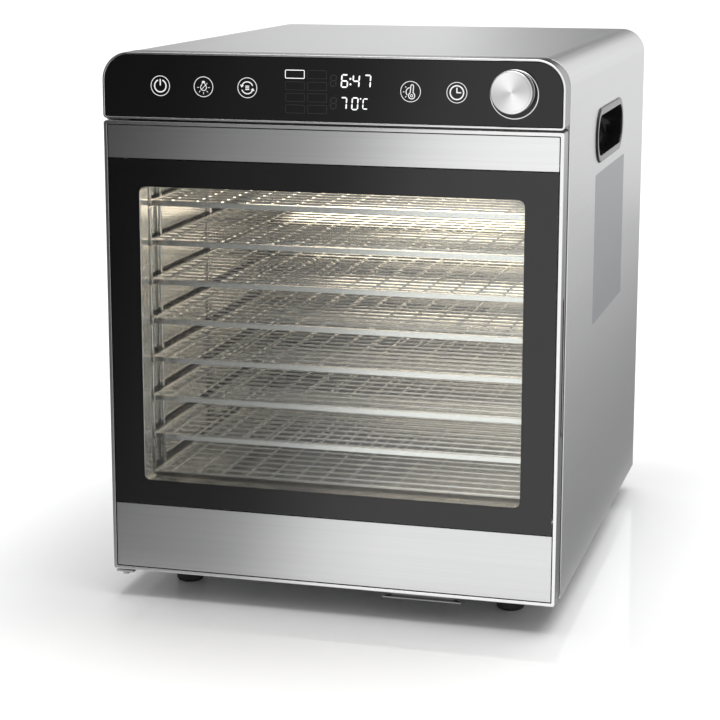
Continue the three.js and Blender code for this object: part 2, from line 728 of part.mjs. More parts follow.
addPart('chamber_wall_left', chamberWall(-1), 'polishedSteel');
addPart('chamber_wall_right', chamberWall(1), 'polishedSteel');
addPart('chamber_floor', chamberFloor(), 'polishedSteel');
addPart('chamber_ceiling', chamberCeiling(), 'polishedSteel');
addPart('air_baffle', airBaffle(), 'polishedSteel');
addPart('plenum_wall', plenumWall(), 'zincSteel');
addPart('tray_rack_left', trayRack(-1), 'chromeWire');
addPart('tray_rack_right', trayRack(1), 'chromeWire');

for (let i = 0; i < tray.count; i += 1) {
  addPart(`tray_${i + 1}`, wireTray(), 'chromeWire').position.z = trayLevel(i);
}

addPart('fan_impeller', fanImpeller(), 'zincSteel');
addPart('fan_shaft', rodY(fan.shaftRadius, 0, fan.level, ...fan.shaftEnds, 16), 'zincSteel');
addPart('fan_motor', fanMotor(), 'motorSteel');
addPart('motor_bracket', motorBracket(), 'zincSteel');
addPart('heater_coil', heaterCoil(), 'heaterSteel');
addPart('thermal_cutoff', thermalCutoff(), 'blackPlastic');
addPart('temp_sensor', tempSensor(), 'chromeWire');
addPart('lamp_housing', lampHousing(), 'zincSteel');
addPart('lamp_lens', lampLens(), 'clearGlass');

addPart('control_bezel', controlBezel(), 'satinTrim');
addPart('control_glass', controlGlass(), 'blackGlass');
addPart('display_module', displayModule(), 'blackPlastic');
addPart('display_board', displayBoard(), 'circuitBoard');
addPart('rotary_encoder', rotaryEncoder(), 'blackPlastic');
addPart('encoder_shaft', encoderShaft(), 'zincSteel');
addPart('knob', knobCap(), 'satinTrim');
addPart('knob_ring', trimRing(), 'satinTrim');
addPart('power_board', powerBoard(), 'circuitBoard');
addPart('cord_gland', cordGland(), 'rubber');

addPart('door_frame', doorFrame(), 'satinTrim');
addPart('door_glass', doorGlass(), 'clearGlass');
addPart('door_band_upper', doorBand(glass.top + 0.5, door.top - door.rim - 0.6), 'brushedSteel');
addPart('door_band_lower', doorBand(door.bottom + door.rim + 0.6, glass.bottom - 0.5), 'brushedSteel');
addPart('door_liner', doorLiner(), 'polishedSteel');
addPart('door_inner_glass', doorInnerGlass(), 'clearGlass');
addPart('door_seal', doorSeal(), 'rubber');
addPart('door_magnet', doorMagnet(), 'motorSteel');
addPart('door_lip', doorLip(), 'satinTrim');

addPart('hinge_bracket_lower', hingeBracketLower(), 'zincSteel');
addPart('hinge_bracket_upper', hingeBracketUpper(), 'zincSteel');
addPart('hinge_pin_lower', hingePinLower(), 'zincSteel');
addPart('hinge_pin_upper', hingePinUpper(), 'zincSteel');
addPart('strike_plate', strikePlate(), 'zincSteel');

const dehydrator = new THREE.Group();
dehydrator.add(appliance);

export default dehydrator;
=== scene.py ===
import math

import bmesh
import bpy
from mathutils import Matrix, Vector


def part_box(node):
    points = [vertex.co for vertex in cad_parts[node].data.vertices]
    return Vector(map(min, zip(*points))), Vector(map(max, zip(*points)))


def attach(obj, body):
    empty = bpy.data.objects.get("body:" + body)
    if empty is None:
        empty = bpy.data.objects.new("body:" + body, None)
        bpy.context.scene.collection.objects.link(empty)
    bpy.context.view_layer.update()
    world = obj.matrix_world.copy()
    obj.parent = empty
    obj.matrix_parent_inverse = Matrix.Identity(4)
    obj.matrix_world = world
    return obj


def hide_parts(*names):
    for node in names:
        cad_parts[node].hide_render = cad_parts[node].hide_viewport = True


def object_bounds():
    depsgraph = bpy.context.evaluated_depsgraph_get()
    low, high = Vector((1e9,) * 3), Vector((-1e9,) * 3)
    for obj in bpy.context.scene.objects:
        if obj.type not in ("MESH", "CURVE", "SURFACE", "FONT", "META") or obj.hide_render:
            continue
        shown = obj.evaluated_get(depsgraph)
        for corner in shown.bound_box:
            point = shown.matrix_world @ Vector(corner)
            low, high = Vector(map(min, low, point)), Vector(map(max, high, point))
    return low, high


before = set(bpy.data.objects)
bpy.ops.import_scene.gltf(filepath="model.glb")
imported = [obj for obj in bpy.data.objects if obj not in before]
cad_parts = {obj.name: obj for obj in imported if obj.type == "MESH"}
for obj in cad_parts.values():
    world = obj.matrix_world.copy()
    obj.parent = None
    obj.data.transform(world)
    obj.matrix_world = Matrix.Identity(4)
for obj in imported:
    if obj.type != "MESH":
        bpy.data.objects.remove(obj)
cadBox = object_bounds()
mm = 0.001  # pieces are drawn in millimetres and become metres when they are added
scene = bpy.context.scene
tau = 2 * math.pi
weld = 1e-4  # points nearer than this are one point
mitre = 0.3  # keeps the offset of a sharp corner short


def span(node):
    low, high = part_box(node)
    return low / mm, high / mm


def middle(node):
    return [(low + high) / 2 for low, high in zip(*span(node))]


# Evenly spaced places about zero.
def row(count, pitch):
    return [(i - (count - 1) / 2) * pitch for i in range(count)]


# Outlines are closed loops of points, anticlockwise.

def arc(cx, cy, radius, start, end, steps):
    turns = [math.radians(start + (end - start) * i / steps) for i in range(steps + 1)]
    return [(cx + radius * math.cos(t), cy + radius * math.sin(t)) for t in turns]


def circle(cx, cy, radius, steps=48):
    return arc(cx, cy, radius, 0, 360 - 360 / steps, steps - 1)


def box(left, right, low, high):
    return [(left, low), (right, low), (right, high), (left, high)]


def roundBox(left, right, low, high, top, bottom=None, steps=10):
    bottom = top if bottom is None else bottom
    return (
        arc(right - bottom, low + bottom, bottom, -90, 0, steps)
        + arc(right - top, high - top, top, 0, 90, steps)
        + arc(left + top, high - top, top, 90, 180, steps)
        + arc(left + bottom, low + bottom, bottom, 180, 270, steps)
    )


def obround(cx, cy, length, height, steps=20):
    radius = height / 2
    reach = length / 2 - radius
    return arc(cx + reach, cy, radius, -90, 90, steps) + arc(cx - reach, cy, radius, 90, 270, steps)


def inset(loop, distance):
    moved = []
    for i, here in enumerate(loop):
        point = Vector(here)
        back = (point - Vector(loop[i - 1])).normalized()
        ahead = (Vector(loop[(i + 1) % len(loop)]) - point).normalized()
        sides = Vector((-back.y - ahead.y, back.x + ahead.x))
        moved.append(point + sides * distance / max(1 + back.dot(ahead), mitre))
    return [tuple(p) for p in moved]


def placed(axis, u, v, w):
    return {"x": (w, u, v), "y": (u, w, v), "z": (u, v, w)}[axis]


def settled(bm, name):
    bmesh.ops.remove_doubles(bm, verts=bm.verts, dist=weld)
    bmesh.ops.recalc_face_normals(bm, faces=bm.faces)
    mesh = bpy.data.meshes.new(name)
    bm.to_mesh(mesh)
    bm.free()
    return mesh


def roundedSteps(edge, low, high):
    if edge <= 0:
        return [(0, low), (0, high)]
    turns = [math.radians(a) for a in (0, 30, 60, 90)]
    start = [(edge * (1 - math.sin(t)), low + edge * (1 - math.cos(t))) for t in turns]
    return start + [(across, high + low - along) for across, along in reversed(start)]


# A sheet or block with rounded edges. Where the sides aren't straight, steps and holeSteps list them as
# (inset, height) pairs.
def plate(name, outer, holes, axis, low, high, edge=0.3, steps=None, holeSteps=None):
    bm = bmesh.new()
    caps = [[], []]
    plain = roundedSteps(edge, low, high)
    walls = [(outer, steps or plain)] + [(list(reversed(hole)), holeSteps or plain) for hole in holes]
    for loop, pairs in walls:
        rings = []
        for across, along in pairs:
            points = inset(loop, across) if across else loop
            rings.append([bm.verts.new(placed(axis, u, v, along)) for u, v in points])
        for lower, upper in zip(rings, rings[1:]):
            for i in range(len(loop)):
                j = (i + 1) % len(loop)
                bm.faces.new((lower[i], lower[j], upper[j], upper[i])).smooth = True
        for cap, ring in zip(caps, (rings[0], rings[-1])):
            cap += [bm.edges.get((ring[i - 1], ring[i])) for i in range(len(ring))]
    for cap in caps:
        made = bmesh.ops.triangle_fill(bm, use_beauty=True, edges=cap)
        for face in made["geom"]:
            if isinstance(face, bmesh.types.BMFace):
                face.smooth = False
    return settled(bm, name)


# A turned piece. The profile holds (radius, place along the axis) pairs, closed on itself if loop is set.
def turned(name, profile, centre, axis, loop=False, segments=72):
    bm = bmesh.new()
    rings = []
    for radius, along in profile:
        ring = []
        for i in range(segments):
            turn = tau * i / segments
            u, v = centre[0] + radius * math.cos(turn), centre[1] + radius * math.sin(turn)
            ring.append(bm.verts.new(placed(axis, u, v, along)))
        rings.append(ring)
    pairs = list(zip(rings, rings[1:])) + ([(rings[-1], rings[0])] if loop else [])
    for lower, upper in pairs:
        for i in range(segments):
            j = (i + 1) % segments
            bm.faces.new((lower[i], lower[j], upper[j], upper[i])).smooth = True
    bmesh.ops.dissolve_degenerate(bm, dist=weld, edges=bm.edges)
    return settled(bm, name)


def joined(name, meshes):
    bm = bmesh.new()
    for mesh in meshes:
        bm.from_mesh(mesh)
        bpy.data.meshes.remove(mesh)
    mesh = bpy.data.meshes.new(name)
    bm.to_mesh(mesh)
    bm.free()
    return mesh


def holder(mesh, modifiers=()):
    obj = bpy.data.objects.new(mesh.name, mesh)
    scene.collection.objects.link(obj)
    for kind, settings in modifiers:
        modifier = obj.modifiers.new(kind.title(), kind)
        for key, value in settings.items():
            setattr(modifier, key, value)
    return obj


# The mesh as its modifiers leave it, with the object that held it removed.
def baked(obj):
    graph = bpy.context.evaluated_depsgraph_get()
    mesh = bpy.data.meshes.new_from_object(obj.evaluated_get(graph))
    mesh.name = obj.name
    bpy.data.objects.remove(obj)
    return mesh


def carved(mesh, cutter):
    tool = holder(cutter)
    whole = holder(mesh, [("BOOLEAN", {"operation": "DIFFERENCE", "solver": "EXACT", "object": tool})])
    result = baked(whole)
    bpy.data.objects.remove(tool)
    return result


# Puts a mesh drawn in millimetres into the scene as a finished piece.
def addPiece(name, mesh, material, body, nodes=(), sharp=40):
    mesh.name = name
    mesh.transform(Matrix.Scale(mm, 4))
    mesh.set_sharp_from_angle(angle=math.radians(sharp))
    obj = holder(mesh, [("WEIGHTED_NORMAL", {"keep_sharp": True})])
    obj.name = name
    final = baked(obj)
    final.materials.clear()
    final.materials.append(material)
    piece = bpy.data.objects.new(name, final)
    scene.collection.objects.link(piece)
    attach(piece, body)
    if nodes:
        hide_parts(*nodes)
    return piece


def paint(material, *nodes):
    for node in nodes:
        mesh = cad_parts[node].data
        mesh.materials.clear()
        mesh.materials.append(material)


# A socket that Python's own operators can reckon with.
class Value:
    def __init__(self, graph, socket):
        self.graph = graph
        self.socket = socket

    def maths(self, operation, other, swapped=False):
        pair = (other, self) if swapped else (self, other)
        return self.graph.node("ShaderNodeMath", {"operation": operation}, dict(enumerate(pair)))

    def __add__(self, other):
        return self.maths("ADD", other)

    def __radd__(self, other):
        return self.maths("ADD", other, True)

    def __sub__(self, other):
        return self.maths("SUBTRACT", other)

    def __rsub__(self, other):
        return self.maths("SUBTRACT", other, True)

    def __mul__(self, other):
        return self.maths("MULTIPLY", other)

    def __rmul__(self, other):
        return self.maths("MULTIPLY", other, True)

    def __truediv__(self, other):
        return self.maths("DIVIDE", other)

    def __rtruediv__(self, other):
        return self.maths("DIVIDE", other, True)

    def __pow__(self, other):
        return self.maths("POWER", other)


class Graph:
    prefix = "ShaderNode"

    def __init__(self, tree):
        self.tree = tree

    # A node of this graph's own kind, or of the kind that a full name gives.
    def node(self, kind, settings=None, inputs=None, output=0):
        made = self.tree.nodes.new(kind if "Node" in kind else self.prefix + kind)
        for key, value in (settings or {}).items():
            if key == "stops":
                ramp = made.color_ramp
                for i, (place, colour) in enumerate(value):
                    stop = ramp.elements[i] if i < 2 else ramp.elements.new(place)
                    stop.position, stop.color = place, colour
            else:
                setattr(made, key, value)
        for key, value in (inputs or {}).items():
            if isinstance(value, Value):
                self.tree.links.new(value.socket, made.inputs[key])
            else:
                made.inputs[key].default_value = value
        return Value(self, made.outputs[output]) if made.outputs else made


def rgb(red, green=None, blue=None):
    green = red if green is None else green
    return (red, green, red if blue is None else blue, 1)


class Finish(Graph):
    def __init__(self, name, **fixed):
        self.material = bpy.data.materials.new(name)
        self.material.use_nodes = True
        super().__init__(self.material.node_tree)
        self.shader = self.tree.nodes["Principled BSDF"]
        self.set(**fixed)

    # Sets the shader's own sockets: keys are socket names with spaces left out.
    def set(self, **values):
        for socket in self.shader.inputs:
            key = socket.name.replace(" ", "")
            if key in values:
                value = values[key]
                if isinstance(value, Value):
                    self.tree.links.new(value.socket, socket)
                else:
                    socket.default_value = value

    # Makes another shader the material's surface.
    def surface(self, shader):
        self.tree.links.new(shader.socket, self.tree.nodes["Material Output"].inputs["Surface"])

    def place(self, scale=(1, 1, 1), centre=(0, 0, 0), turn=(0, 0, 0)):
        coordinates = self.node("TexCoord", output="Object")
        return self.node("Mapping", {}, {
            "Vector": coordinates, "Location": centre, "Rotation": turn, "Scale": scale,
        })

    # One coordinate of a point, of the object's own unless another vector is given.
    def axis(self, key, vector=None):
        vector = vector or self.node("TexCoord", output="Object")
        return self.node("SeparateXYZ", {}, {"Vector": vector}, output=key)

    def noise(self, scale, stretch=(1, 1, 1), detail=2.0, roughness=0.5):
        vector = self.place(stretch)
        values = {"Vector": vector, "Scale": scale, "Detail": detail, "Roughness": roughness}
        return self.node("TexNoise", {}, values)

    def blend(self, factor, first, second):
        colours = {"Factor": factor, 6: first, 7: second}
        return self.node("Mix", {"data_type": "RGBA"}, colours, output=2)

    def bump(self, height, distance):
        return self.node("Bump", {}, {"Height": height, "Distance": distance, "Strength": 1.0})


# Rolled sheet with a fine grain. The long axis of the grain is the one with the small stretch.
def brushedSteel(name, stretch, tone=0.62, roughness=0.3, depth=0.00001):
    finish = Finish(name, Metallic=1.0)
    fine = finish.noise(1.0, stretch, 3.0, 0.6)
    broad = finish.noise(0.22, stretch, 2.0)
    grain = fine * 0.6 + broad * 0.4
    finish.set(
        BaseColor=finish.blend(grain, rgb(tone * 0.86, tone * 0.865, tone * 0.875), rgb(tone * 1.12)),
        Roughness=grain * 0.12 + (roughness - 0.06),
        Normal=finish.bump(fine, depth),
    )
    return finish.material


def polishedLiner(name, tone=0.72, roughness=0.14, ripple=0.00035):
    finish = Finish(name, Metallic=1.0)
    waves = finish.noise(14.0, (1, 1, 1), 2.0)
    marks = finish.noise(90.0, (1, 6, 1), 3.0)
    finish.set(
        BaseColor=finish.blend(marks, rgb(tone * 0.92, tone * 0.9, tone * 0.86), rgb(tone)),
        Roughness=marks * 0.1 + (roughness - 0.05),
        Normal=finish.bump(waves, ripple),
    )
    return finish.material


def smoothMetal(name, tone, roughness, tint=(1, 1, 1), metallic=1.0, scale=220.0):
    finish = Finish(name, Metallic=metallic)
    cloud = finish.noise(scale, (1, 1, 1), 3.0)
    low = rgb(*[tone * c * 0.93 for c in tint])
    high = rgb(*[tone * c * 1.05 for c in tint])
    finish.set(
        BaseColor=finish.blend(cloud, low, high),
        Roughness=cloud * 0.08 + (roughness - 0.04),
        Normal=finish.bump(cloud, 0.000004),
    )
    return finish.material


# Satin metal with painted shade: its sides are darker than its front edge, from `deep` millimetres behind
# the front.
def sideShadedMetal(name, tone, roughness, deep, dull):
    finish = Finish(name, Metallic=1.0)
    cloud = finish.noise(220.0, (1, 1, 1), 3.0)
    fade = 0.3
    side = finish.node("MapRange", {}, {
        "Value": finish.axis("Y"), "From Min": (front + deep) * mm, "From Max": (front + deep + fade) * mm,
    })
    bright = finish.blend(cloud, rgb(tone * 0.95), rgb(tone * 1.04))
    # Painted shade: the sides take a darker copy of the front edge's colour.
    shadedSides = finish.blend(cloud, rgb(tone * dull * 0.95), rgb(tone * dull, tone * dull, tone * dull * 1.03))
    finish.set(BaseColor=finish.blend(side, bright, shadedSides), Roughness=cloud * 0.08 + (roughness - 0.04))
    return finish.material


def galvanised(name, tone=0.5):
    finish = Finish(name, Metallic=1.0)
    cells = finish.node(
        "TexVoronoi", {}, {"Vector": finish.place(), "Scale": 170.0}, output="Color"
    )
    spangle = finish.node("SeparateColor", {}, {"Color": cells})
    finish.set(
        BaseColor=finish.blend(spangle, rgb(tone * 0.93, tone * 0.94, tone * 0.96), rgb(tone * 1.06)),
        Roughness=spangle * 0.08 + 0.38,
        Normal=finish.bump(finish.noise(300.0), 0.000008),
    )
    return finish.material


def blackGlass(name, tone=0.005, roughness=0.035, bend=1.4):
    finish = Finish(name, IOR=bend)
    smudge = finish.noise(16.0, (1, 1, 1), 4.0)
    finish.set(
        BaseColor=finish.blend(smudge, rgb(tone * 0.8), rgb(tone * 1.3, tone * 1.3, tone * 1.4)),
        Roughness=smudge * 0.03 + (roughness - 0.01),
    )
    return finish.material


# Thin clear pane: it lets light through and mirrors more of it at a slant.
def clearPane(name, tint=0.96):
    finish = Finish(name)
    finish.tree.nodes.remove(finish.shader)
    smudge = finish.noise(30.0, (1, 1, 1), 4.0)
    through = finish.node("BsdfTransparent", {}, {"Color": rgb(tint, tint * 1.005, tint)})
    mirror = finish.node("BsdfGlossy", {}, {"Color": rgb(1), "Roughness": 0.02})
    slant = finish.node("Fresnel", {}, {"IOR": 1.5})
    inside = finish.node("NewGeometry", {}, {}, output="Backfacing")
    factor = slant * (1 - inside) * (0.9 + smudge * 0.2)
    finish.surface(finish.node("MixShader", {}, {0: factor, 1: through, 2: mirror}))
    return finish.material


def darkPlastic(name, tone, roughness, grain=0.00002, scale=900.0, gloss=0.5):
    finish = Finish(name, IOR=1.5, SpecularIORLevel=gloss)
    cloud = finish.noise(60.0, (1, 1, 1), 3.0)
    finish.set(
        BaseColor=finish.blend(cloud, rgb(tone * 0.85), rgb(tone * 1.2)),
        Roughness=cloud * 0.08 + (roughness - 0.04),
        Normal=finish.bump(finish.noise(scale), grain),
    )
    return finish.material


def glowing(name, colour, strength, tone=0.8):
    finish = Finish(name, EmissionStrength=strength, Roughness=0.4)
    flicker = finish.noise(400.0)
    bright = rgb(*colour)
    dim = rgb(*[c * 0.93 for c in colour])
    finish.set(BaseColor=finish.blend(flicker, rgb(tone * 0.95), rgb(tone)))
    finish.set(EmissionColor=finish.blend(flicker, dim, bright))
    return finish.material


def circuitBoard(name):
    finish = Finish(name, IOR=1.5)
    bricks = finish.node("TexBrick", {"offset": 0.5}, {
        "Vector": finish.place(turn=(math.radians(90), 0, 0)),
        "Color1": rgb(0.012, 0.085, 0.035), "Color2": rgb(0.016, 0.11, 0.045),
        "Mortar": rgb(0.2, 0.28, 0.12), "Scale": 160.0, "Mortar Size": 0.03,
    })
    finish.set(BaseColor=bricks, Roughness=finish.noise(80.0) * 0.2 + 0.35)
    return finish.material


# The fan count and phase place the knob face's painted highlights.
spun = {"rings": 22000.0, "uneven": 2600.0, "fans": 2.0, "phase": 2.3, "groove": 0.000006}


# Turned face: fine rings round the knob's own axis, with painted highlights: lighter and darker fans
# painted into the colour by angle round the axis, mixed with random unevenness.
def spunMetal(name, centre, tone=0.6):
    finish = Finish(name, Metallic=1.0)
    vector = finish.place(centre=(-centre[0], 0, -centre[1]))
    x, z = finish.axis("X", vector), finish.axis("Z", vector)
    radius = (x * x + z * z) ** 0.5
    rings = finish.node("Math", {"operation": "SINE"}, {0: radius * spun["rings"]})
    uneven = finish.node(
        "TexNoise", {"noise_dimensions": "1D"}, {"W": radius * spun["uneven"], "Detail": 3.0}
    )
    turn = finish.node("Math", {"operation": "ARCTAN2"}, {0: z, 1: x})
    # Painted highlight: the colour turns lighter and darker in fans round the axis.
    fans = turn * spun["fans"] + spun["phase"]
    fan = finish.node("Math", {"operation": "COSINE"}, {0: fans})
    paintedSheenAndUneven = (fan * 0.5 + 0.5) * 0.75 + uneven * 0.25
    finish.set(
        BaseColor=finish.blend(paintedSheenAndUneven, rgb(tone * 0.62, tone * 0.62, tone * 0.63), rgb(tone * 1.25)),
        Roughness=uneven * 0.1 + 0.24,
        Normal=finish.bump(rings * 0.5 + uneven * 0.5, spun["groove"]),
    )
    return finish.material


acrossFront = (7, 400, 2600)
steelFront = brushedSteel("brushed_steel_front", acrossFront, roughness=0.3)
# The lower door band's steel: a darker copy of the front steel, painted shade.
steelLowerShaded = brushedSteel("brushed_steel_lower", acrossFront, tone=0.54, roughness=0.34)
steelWrap = brushedSteel("brushed_steel_wrap", (2400, 6, 2400), tone=0.66, roughness=0.32)
steelRear = brushedSteel("brushed_steel_rear", (7, 2000, 2400), tone=0.6, roughness=0.34)
liner = polishedLiner("polished_liner")
wire = smoothMetal("chrome_wire", tone=0.74, roughness=0.1, tint=(1, 0.99, 0.97))
trayMetal = smoothMetal("tray_steel", tone=0.84, roughness=0.22, tint=(1, 1, 0.985))
trim = smoothMetal("satin_trim", tone=0.66, roughness=0.24)
# Door lip: metal given a very dark tone, painted shade under the door.
lipShadedMetal = smoothMetal("lip_metal", tone=0.22, roughness=0.4)
zinc = galvanised("galvanised_sheet")
motorMetal = smoothMetal("motor_steel", tone=0.32, roughness=0.45, tint=(1, 1, 1.04))
heaterMetal = smoothMetal("heater_sheath", tone=0.16, roughness=0.5, tint=(1, 0.9, 0.82), metallic=0.8)
screwMetal = smoothMetal("screw_steel", tone=0.5, roughness=0.28)
stickerGrey = smoothMetal(
    "sticker_film", tone=0.36, roughness=0.4, tint=(0.97, 0.99, 1.03), metallic=0.75, scale=60.0
)
glassBlack = blackGlass("black_glass")
glassClear = clearPane("clear_glass")
printBlack = blackGlass("printed_border", tone=0.003, bend=1.49)
gripPlastic = darkPlastic("gloss_plastic", tone=0.009, roughness=0.13, grain=0.000004, gloss=0.2)
blackPlastic = darkPlastic("dark_plastic", tone=0.014, roughness=0.4)
rubber = darkPlastic("black_rubber", tone=0.012, roughness=0.62, grain=0.00004, scale=1500.0)
boardGreen = circuitBoard("circuit_board")
litWhite = glowing("lit_symbols", (1, 1, 1), strength=0.95, tone=0.5)
# The printed symbols glow: painted light on print.
iconGlowWhite = glowing("printed_symbols", (1, 1, 1), strength=0.62, tone=0.4)
# Unlit segments: near black with a faint painted glow.
unlitFaintGlow = glowing("unlit_symbols", (0.5, 0.52, 0.55), strength=0.012, tone=0.01)
lampGlow = glowing("lamp_glow", (1, 0.86, 0.62), strength=3.5)
print("finishes made")

# The cabinet shell

wrapLow, wrapHigh = span("outer_wrapper")
doorLow, doorHigh = span("door_frame")
front = doorLow.y
halfWidth = wrapHigh.x
# Trims with painted shade on their sides: the sides are darker than the front edge.
frameTrim = sideShadedMetal("frame_trim", tone=0.66, roughness=0.24, deep=0.7, dull=0.45)
bezelTrim = sideShadedMetal("bezel_trim", tone=0.66, roughness=0.24, deep=0.7, dull=0.3)

shell = {"sheet": 1.2, "corner": 20, "edge": 0.35, "gripClearance": 0.3, "innerCorner": 18.5}
grip = {
    "length": 131, "height": 35.4, "flange": 3.5, "proud": 1.2, "deep": 27, "shallow": 9, "wall": 2.2,
    "gap": 0.3, "sheet": 1.2, "steps": 28,
}
_, gripY, gripZ = middle("side_grip_right")


def outerWrapper():
    t, r = shell["sheet"], shell["corner"]
    low, high = wrapLow.z, wrapHigh.z
    outer = [(halfWidth, low)] + arc(halfWidth - r, high - r, r, 0, 90, 16)
    outer += arc(r - halfWidth, high - r, r, 90, 180, 16) + [(-halfWidth, low)]
    inner = [(t - halfWidth, low)] + arc(r - halfWidth, high - r, r - t, 180, 90, 16)
    inner += arc(halfWidth - r, high - r, r - t, 90, 0, 16) + [(halfWidth - t, low)]
    mesh = plate("outer_wrapper", outer + inner, [], "y", wrapLow.y, wrapHigh.y, shell["edge"])
    room = 2 * shell["gripClearance"]
    hole = obround(gripY, gripZ, grip["length"] + room, grip["height"] + room)
    mesh = carved(mesh, plate("grip_holes", hole, [], "x", -halfWidth - 5, halfWidth + 5, 0))
    addPiece("wrapper_sheet", mesh, steelWrap, "cabinet", ["outer_wrapper"], 30)


# A moulded finger cup: rings of one outline run over the rim and down to a floor that slants inwards.
def sideGrip(side):
    edge = halfWidth + grip["gap"]
    rim = edge + grip["proud"]
    flange, wall, height = grip["flange"], grip["wall"], grip["height"]
    bm = bmesh.new()
    rings = []
    for outset, x in (
        (flange, edge), (flange, edge + 0.3), (flange - 0.5, rim - 0.25), (flange - 1.1, rim),
        (-1.2, rim), (-2.0, rim - 0.3), (-wall, rim - 1.0),
    ):
        loop = obround(gripY, gripZ, grip["length"] + 2 * outset, height + 2 * outset, grip["steps"])
        rings.append([bm.verts.new((side * x, y, z)) for y, z in loop])
    mouthLoop = obround(gripY, gripZ, grip["length"] - 2 * wall, height - 2 * wall, grip["steps"])
    for shrink, share in (
        (0.0, 0.12), (0.3, 0.5), (0.9, 0.82), (1.9, 0.95), (3.6, 1.0),
        (6.5, 1.0), (10.5, 1.0), (14.5, 1.0), (18.5, 1.0),
    ):
        ring = []
        for y, z in inset(mouthLoop, shrink):
            climb = (z - gripZ) / height + 0.5
            depth = grip["shallow"] + (grip["deep"] - grip["shallow"] - wall) * climb
            ring.append(bm.verts.new((side * (rim - 1 - depth * share), y, z)))
        rings.append(ring)
    for first, second in zip(rings, rings[1:]):
        for i in range(len(first)):
            j = (i + 1) % len(first)
            bm.faces.new((first[i], first[j], second[j], second[i])).smooth = True
    bm.faces.new(rings[-1]).smooth = True
    mesh = settled(bm, "grip")
    obj = holder(mesh, [("SOLIDIFY", {"thickness": grip["sheet"], "offset": -1.0, "use_rim": True})])
    name = "side_grip_" + ("right" if side > 0 else "left")
    addPiece(name + "_cup", baked(obj), gripPlastic, "cabinet", [name], 50)


outerWrapper()
sideGrip(1)
sideGrip(-1)


back = {
    "edge": 0.3, "ventCount": 8, "ventPitch": 24, "ventWidth": 16, "ventHeight": 6, "ventLevel": 375,
    "airRadius": 46, "glandRadius": 9,
}
coverShape = {
    "corner": 12, "slots": 9, "slotWidth": 128, "slotHeight": 6, "spread": 0.8, "edge": 1.0, "sheet": 1.2,
}
# The grommet's section in (radius, distance) pairs: the body from the front end, the lip from the rear.
gland = {
    "body": [
        (4.5, 0), (8.4, 0), (8.6, 0.4), (8.6, 5.8), (9.0, 6.0), (11.6, 6.0),
        (12, 6.4), (12, 8.0), (11.5, 8.5), (9.4, 8.7), (9, 9.2), (8.6, 10.8),
    ],
    "lip": [(8.0, 0), (5.2, 0), (4.5, -0.7)],
}
backLow, backHigh = span("rear_panel")
coverLow, coverHigh = span("fan_cover")
fanZ = middle("fan_cover")[2]
glandLow, glandHigh = span("cord_gland")
glandX, _, glandZ = middle("cord_gland")


def rearPanel():
    corner = shell["innerCorner"]
    outline = roundBox(backLow.x, backHigh.x, backLow.z, backHigh.z, corner, 1, 12)
    holes = [circle(0, fanZ, back["airRadius"], 64), circle(glandX, glandZ, back["glandRadius"], 32)]
    for x in row(back["ventCount"], back["ventPitch"]):
        holes.append(obround(x, back["ventLevel"], back["ventWidth"], back["ventHeight"], 8))
    mesh = plate("rear", outline, holes, "y", backLow.y, backHigh.y, back["edge"])
    addPiece("rear_sheet", mesh, zinc, "cabinet", ["rear_panel"])


def fanCover():
    side, corner, t = coverHigh.x, coverShape["corner"], coverShape["sheet"]
    outline = roundBox(-side, side, coverLow.z, coverHigh.z, corner, corner, 8)
    pitch = coverShape["spread"] * (coverHigh.z - coverLow.z) / (coverShape["slots"] - 1)
    wide, tall = coverShape["slotWidth"], coverShape["slotHeight"]
    slots = [obround(0, fanZ + rise, wide, tall, 8) for rise in row(coverShape["slots"], pitch)]
    edge = coverShape["edge"]
    steps = [(0, coverHigh.y - t), (0, coverHigh.y - edge), (0.3, coverHigh.y - 0.3), (edge, coverHigh.y)]
    face = plate("face", outline, slots, "y", coverHigh.y - t, coverHigh.y, 0.25, steps)
    wall = plate("wall", outline, [inset(outline, t)], "y", coverLow.y, coverHigh.y - t, 0)
    mesh = joined("cover", [face, wall])
    addPiece("fan_cover_pan", mesh, steelRear, "cabinet", ["fan_cover"])


def cordGland():
    profile = [(radius, glandLow.y + along) for radius, along in gland["body"]]
    profile += [(radius, glandHigh.y + along) for radius, along in gland["lip"]]
    mesh = turned("gland", profile, (glandX, glandZ), "y", loop=True, segments=48)
    addPiece("lead_grommet", mesh, rubber, "cabinet", ["cord_gland"])


rearPanel()
fanCover()
cordGland()


feet = {"waist": 10.6, "round": 2.4, "screw": 3.2, "recess": 1.6, "flare": 0.6}


def rubberFoot(name):
    low, high = span(name)
    radius = (high.x - low.x) / 2
    bend = arc(feet["waist"] - feet["round"], feet["round"], feet["round"], -90, 0, 6)
    recess = feet["recess"]
    profile = [(0, recess), (feet["screw"], recess), (feet["screw"] + feet["flare"], 0)] + bend
    profile += [(radius - 0.2, high.z - 0.4), (radius - 0.6, high.z), (0, high.z)]
    mesh = turned("foot", profile, middle(name)[:2], "z", segments=56)
    addPiece(name + "_pad", mesh, rubber, "cabinet", [name])


for nodeName in ("foot_front_left", "foot_front_right", "foot_rear_left", "foot_rear_right"):
    rubberFoot(nodeName)


frameLow, frameHigh = span("front_frame")
mouth = {"halfWidth": 155, "low": 62, "high": 338, "corner": 3, "control": (-148, 148, 374, 409)}


def frontFrame():
    corner = shell["innerCorner"]
    outline = roundBox(frameLow.x, frameHigh.x, frameLow.z, frameHigh.z, corner, 1, 12)
    half = mouth["halfWidth"]
    opening = roundBox(-half, half, mouth["low"], mouth["high"], mouth["corner"])
    mesh = plate("mouth", outline, [opening, box(*mouth["control"])], "y", frameLow.y, frameHigh.y, 0.3)
    addPiece("front_sheet", mesh, liner, "cabinet", ["front_frame"])


frontFrame()
print("cabinet made")

# The control panel

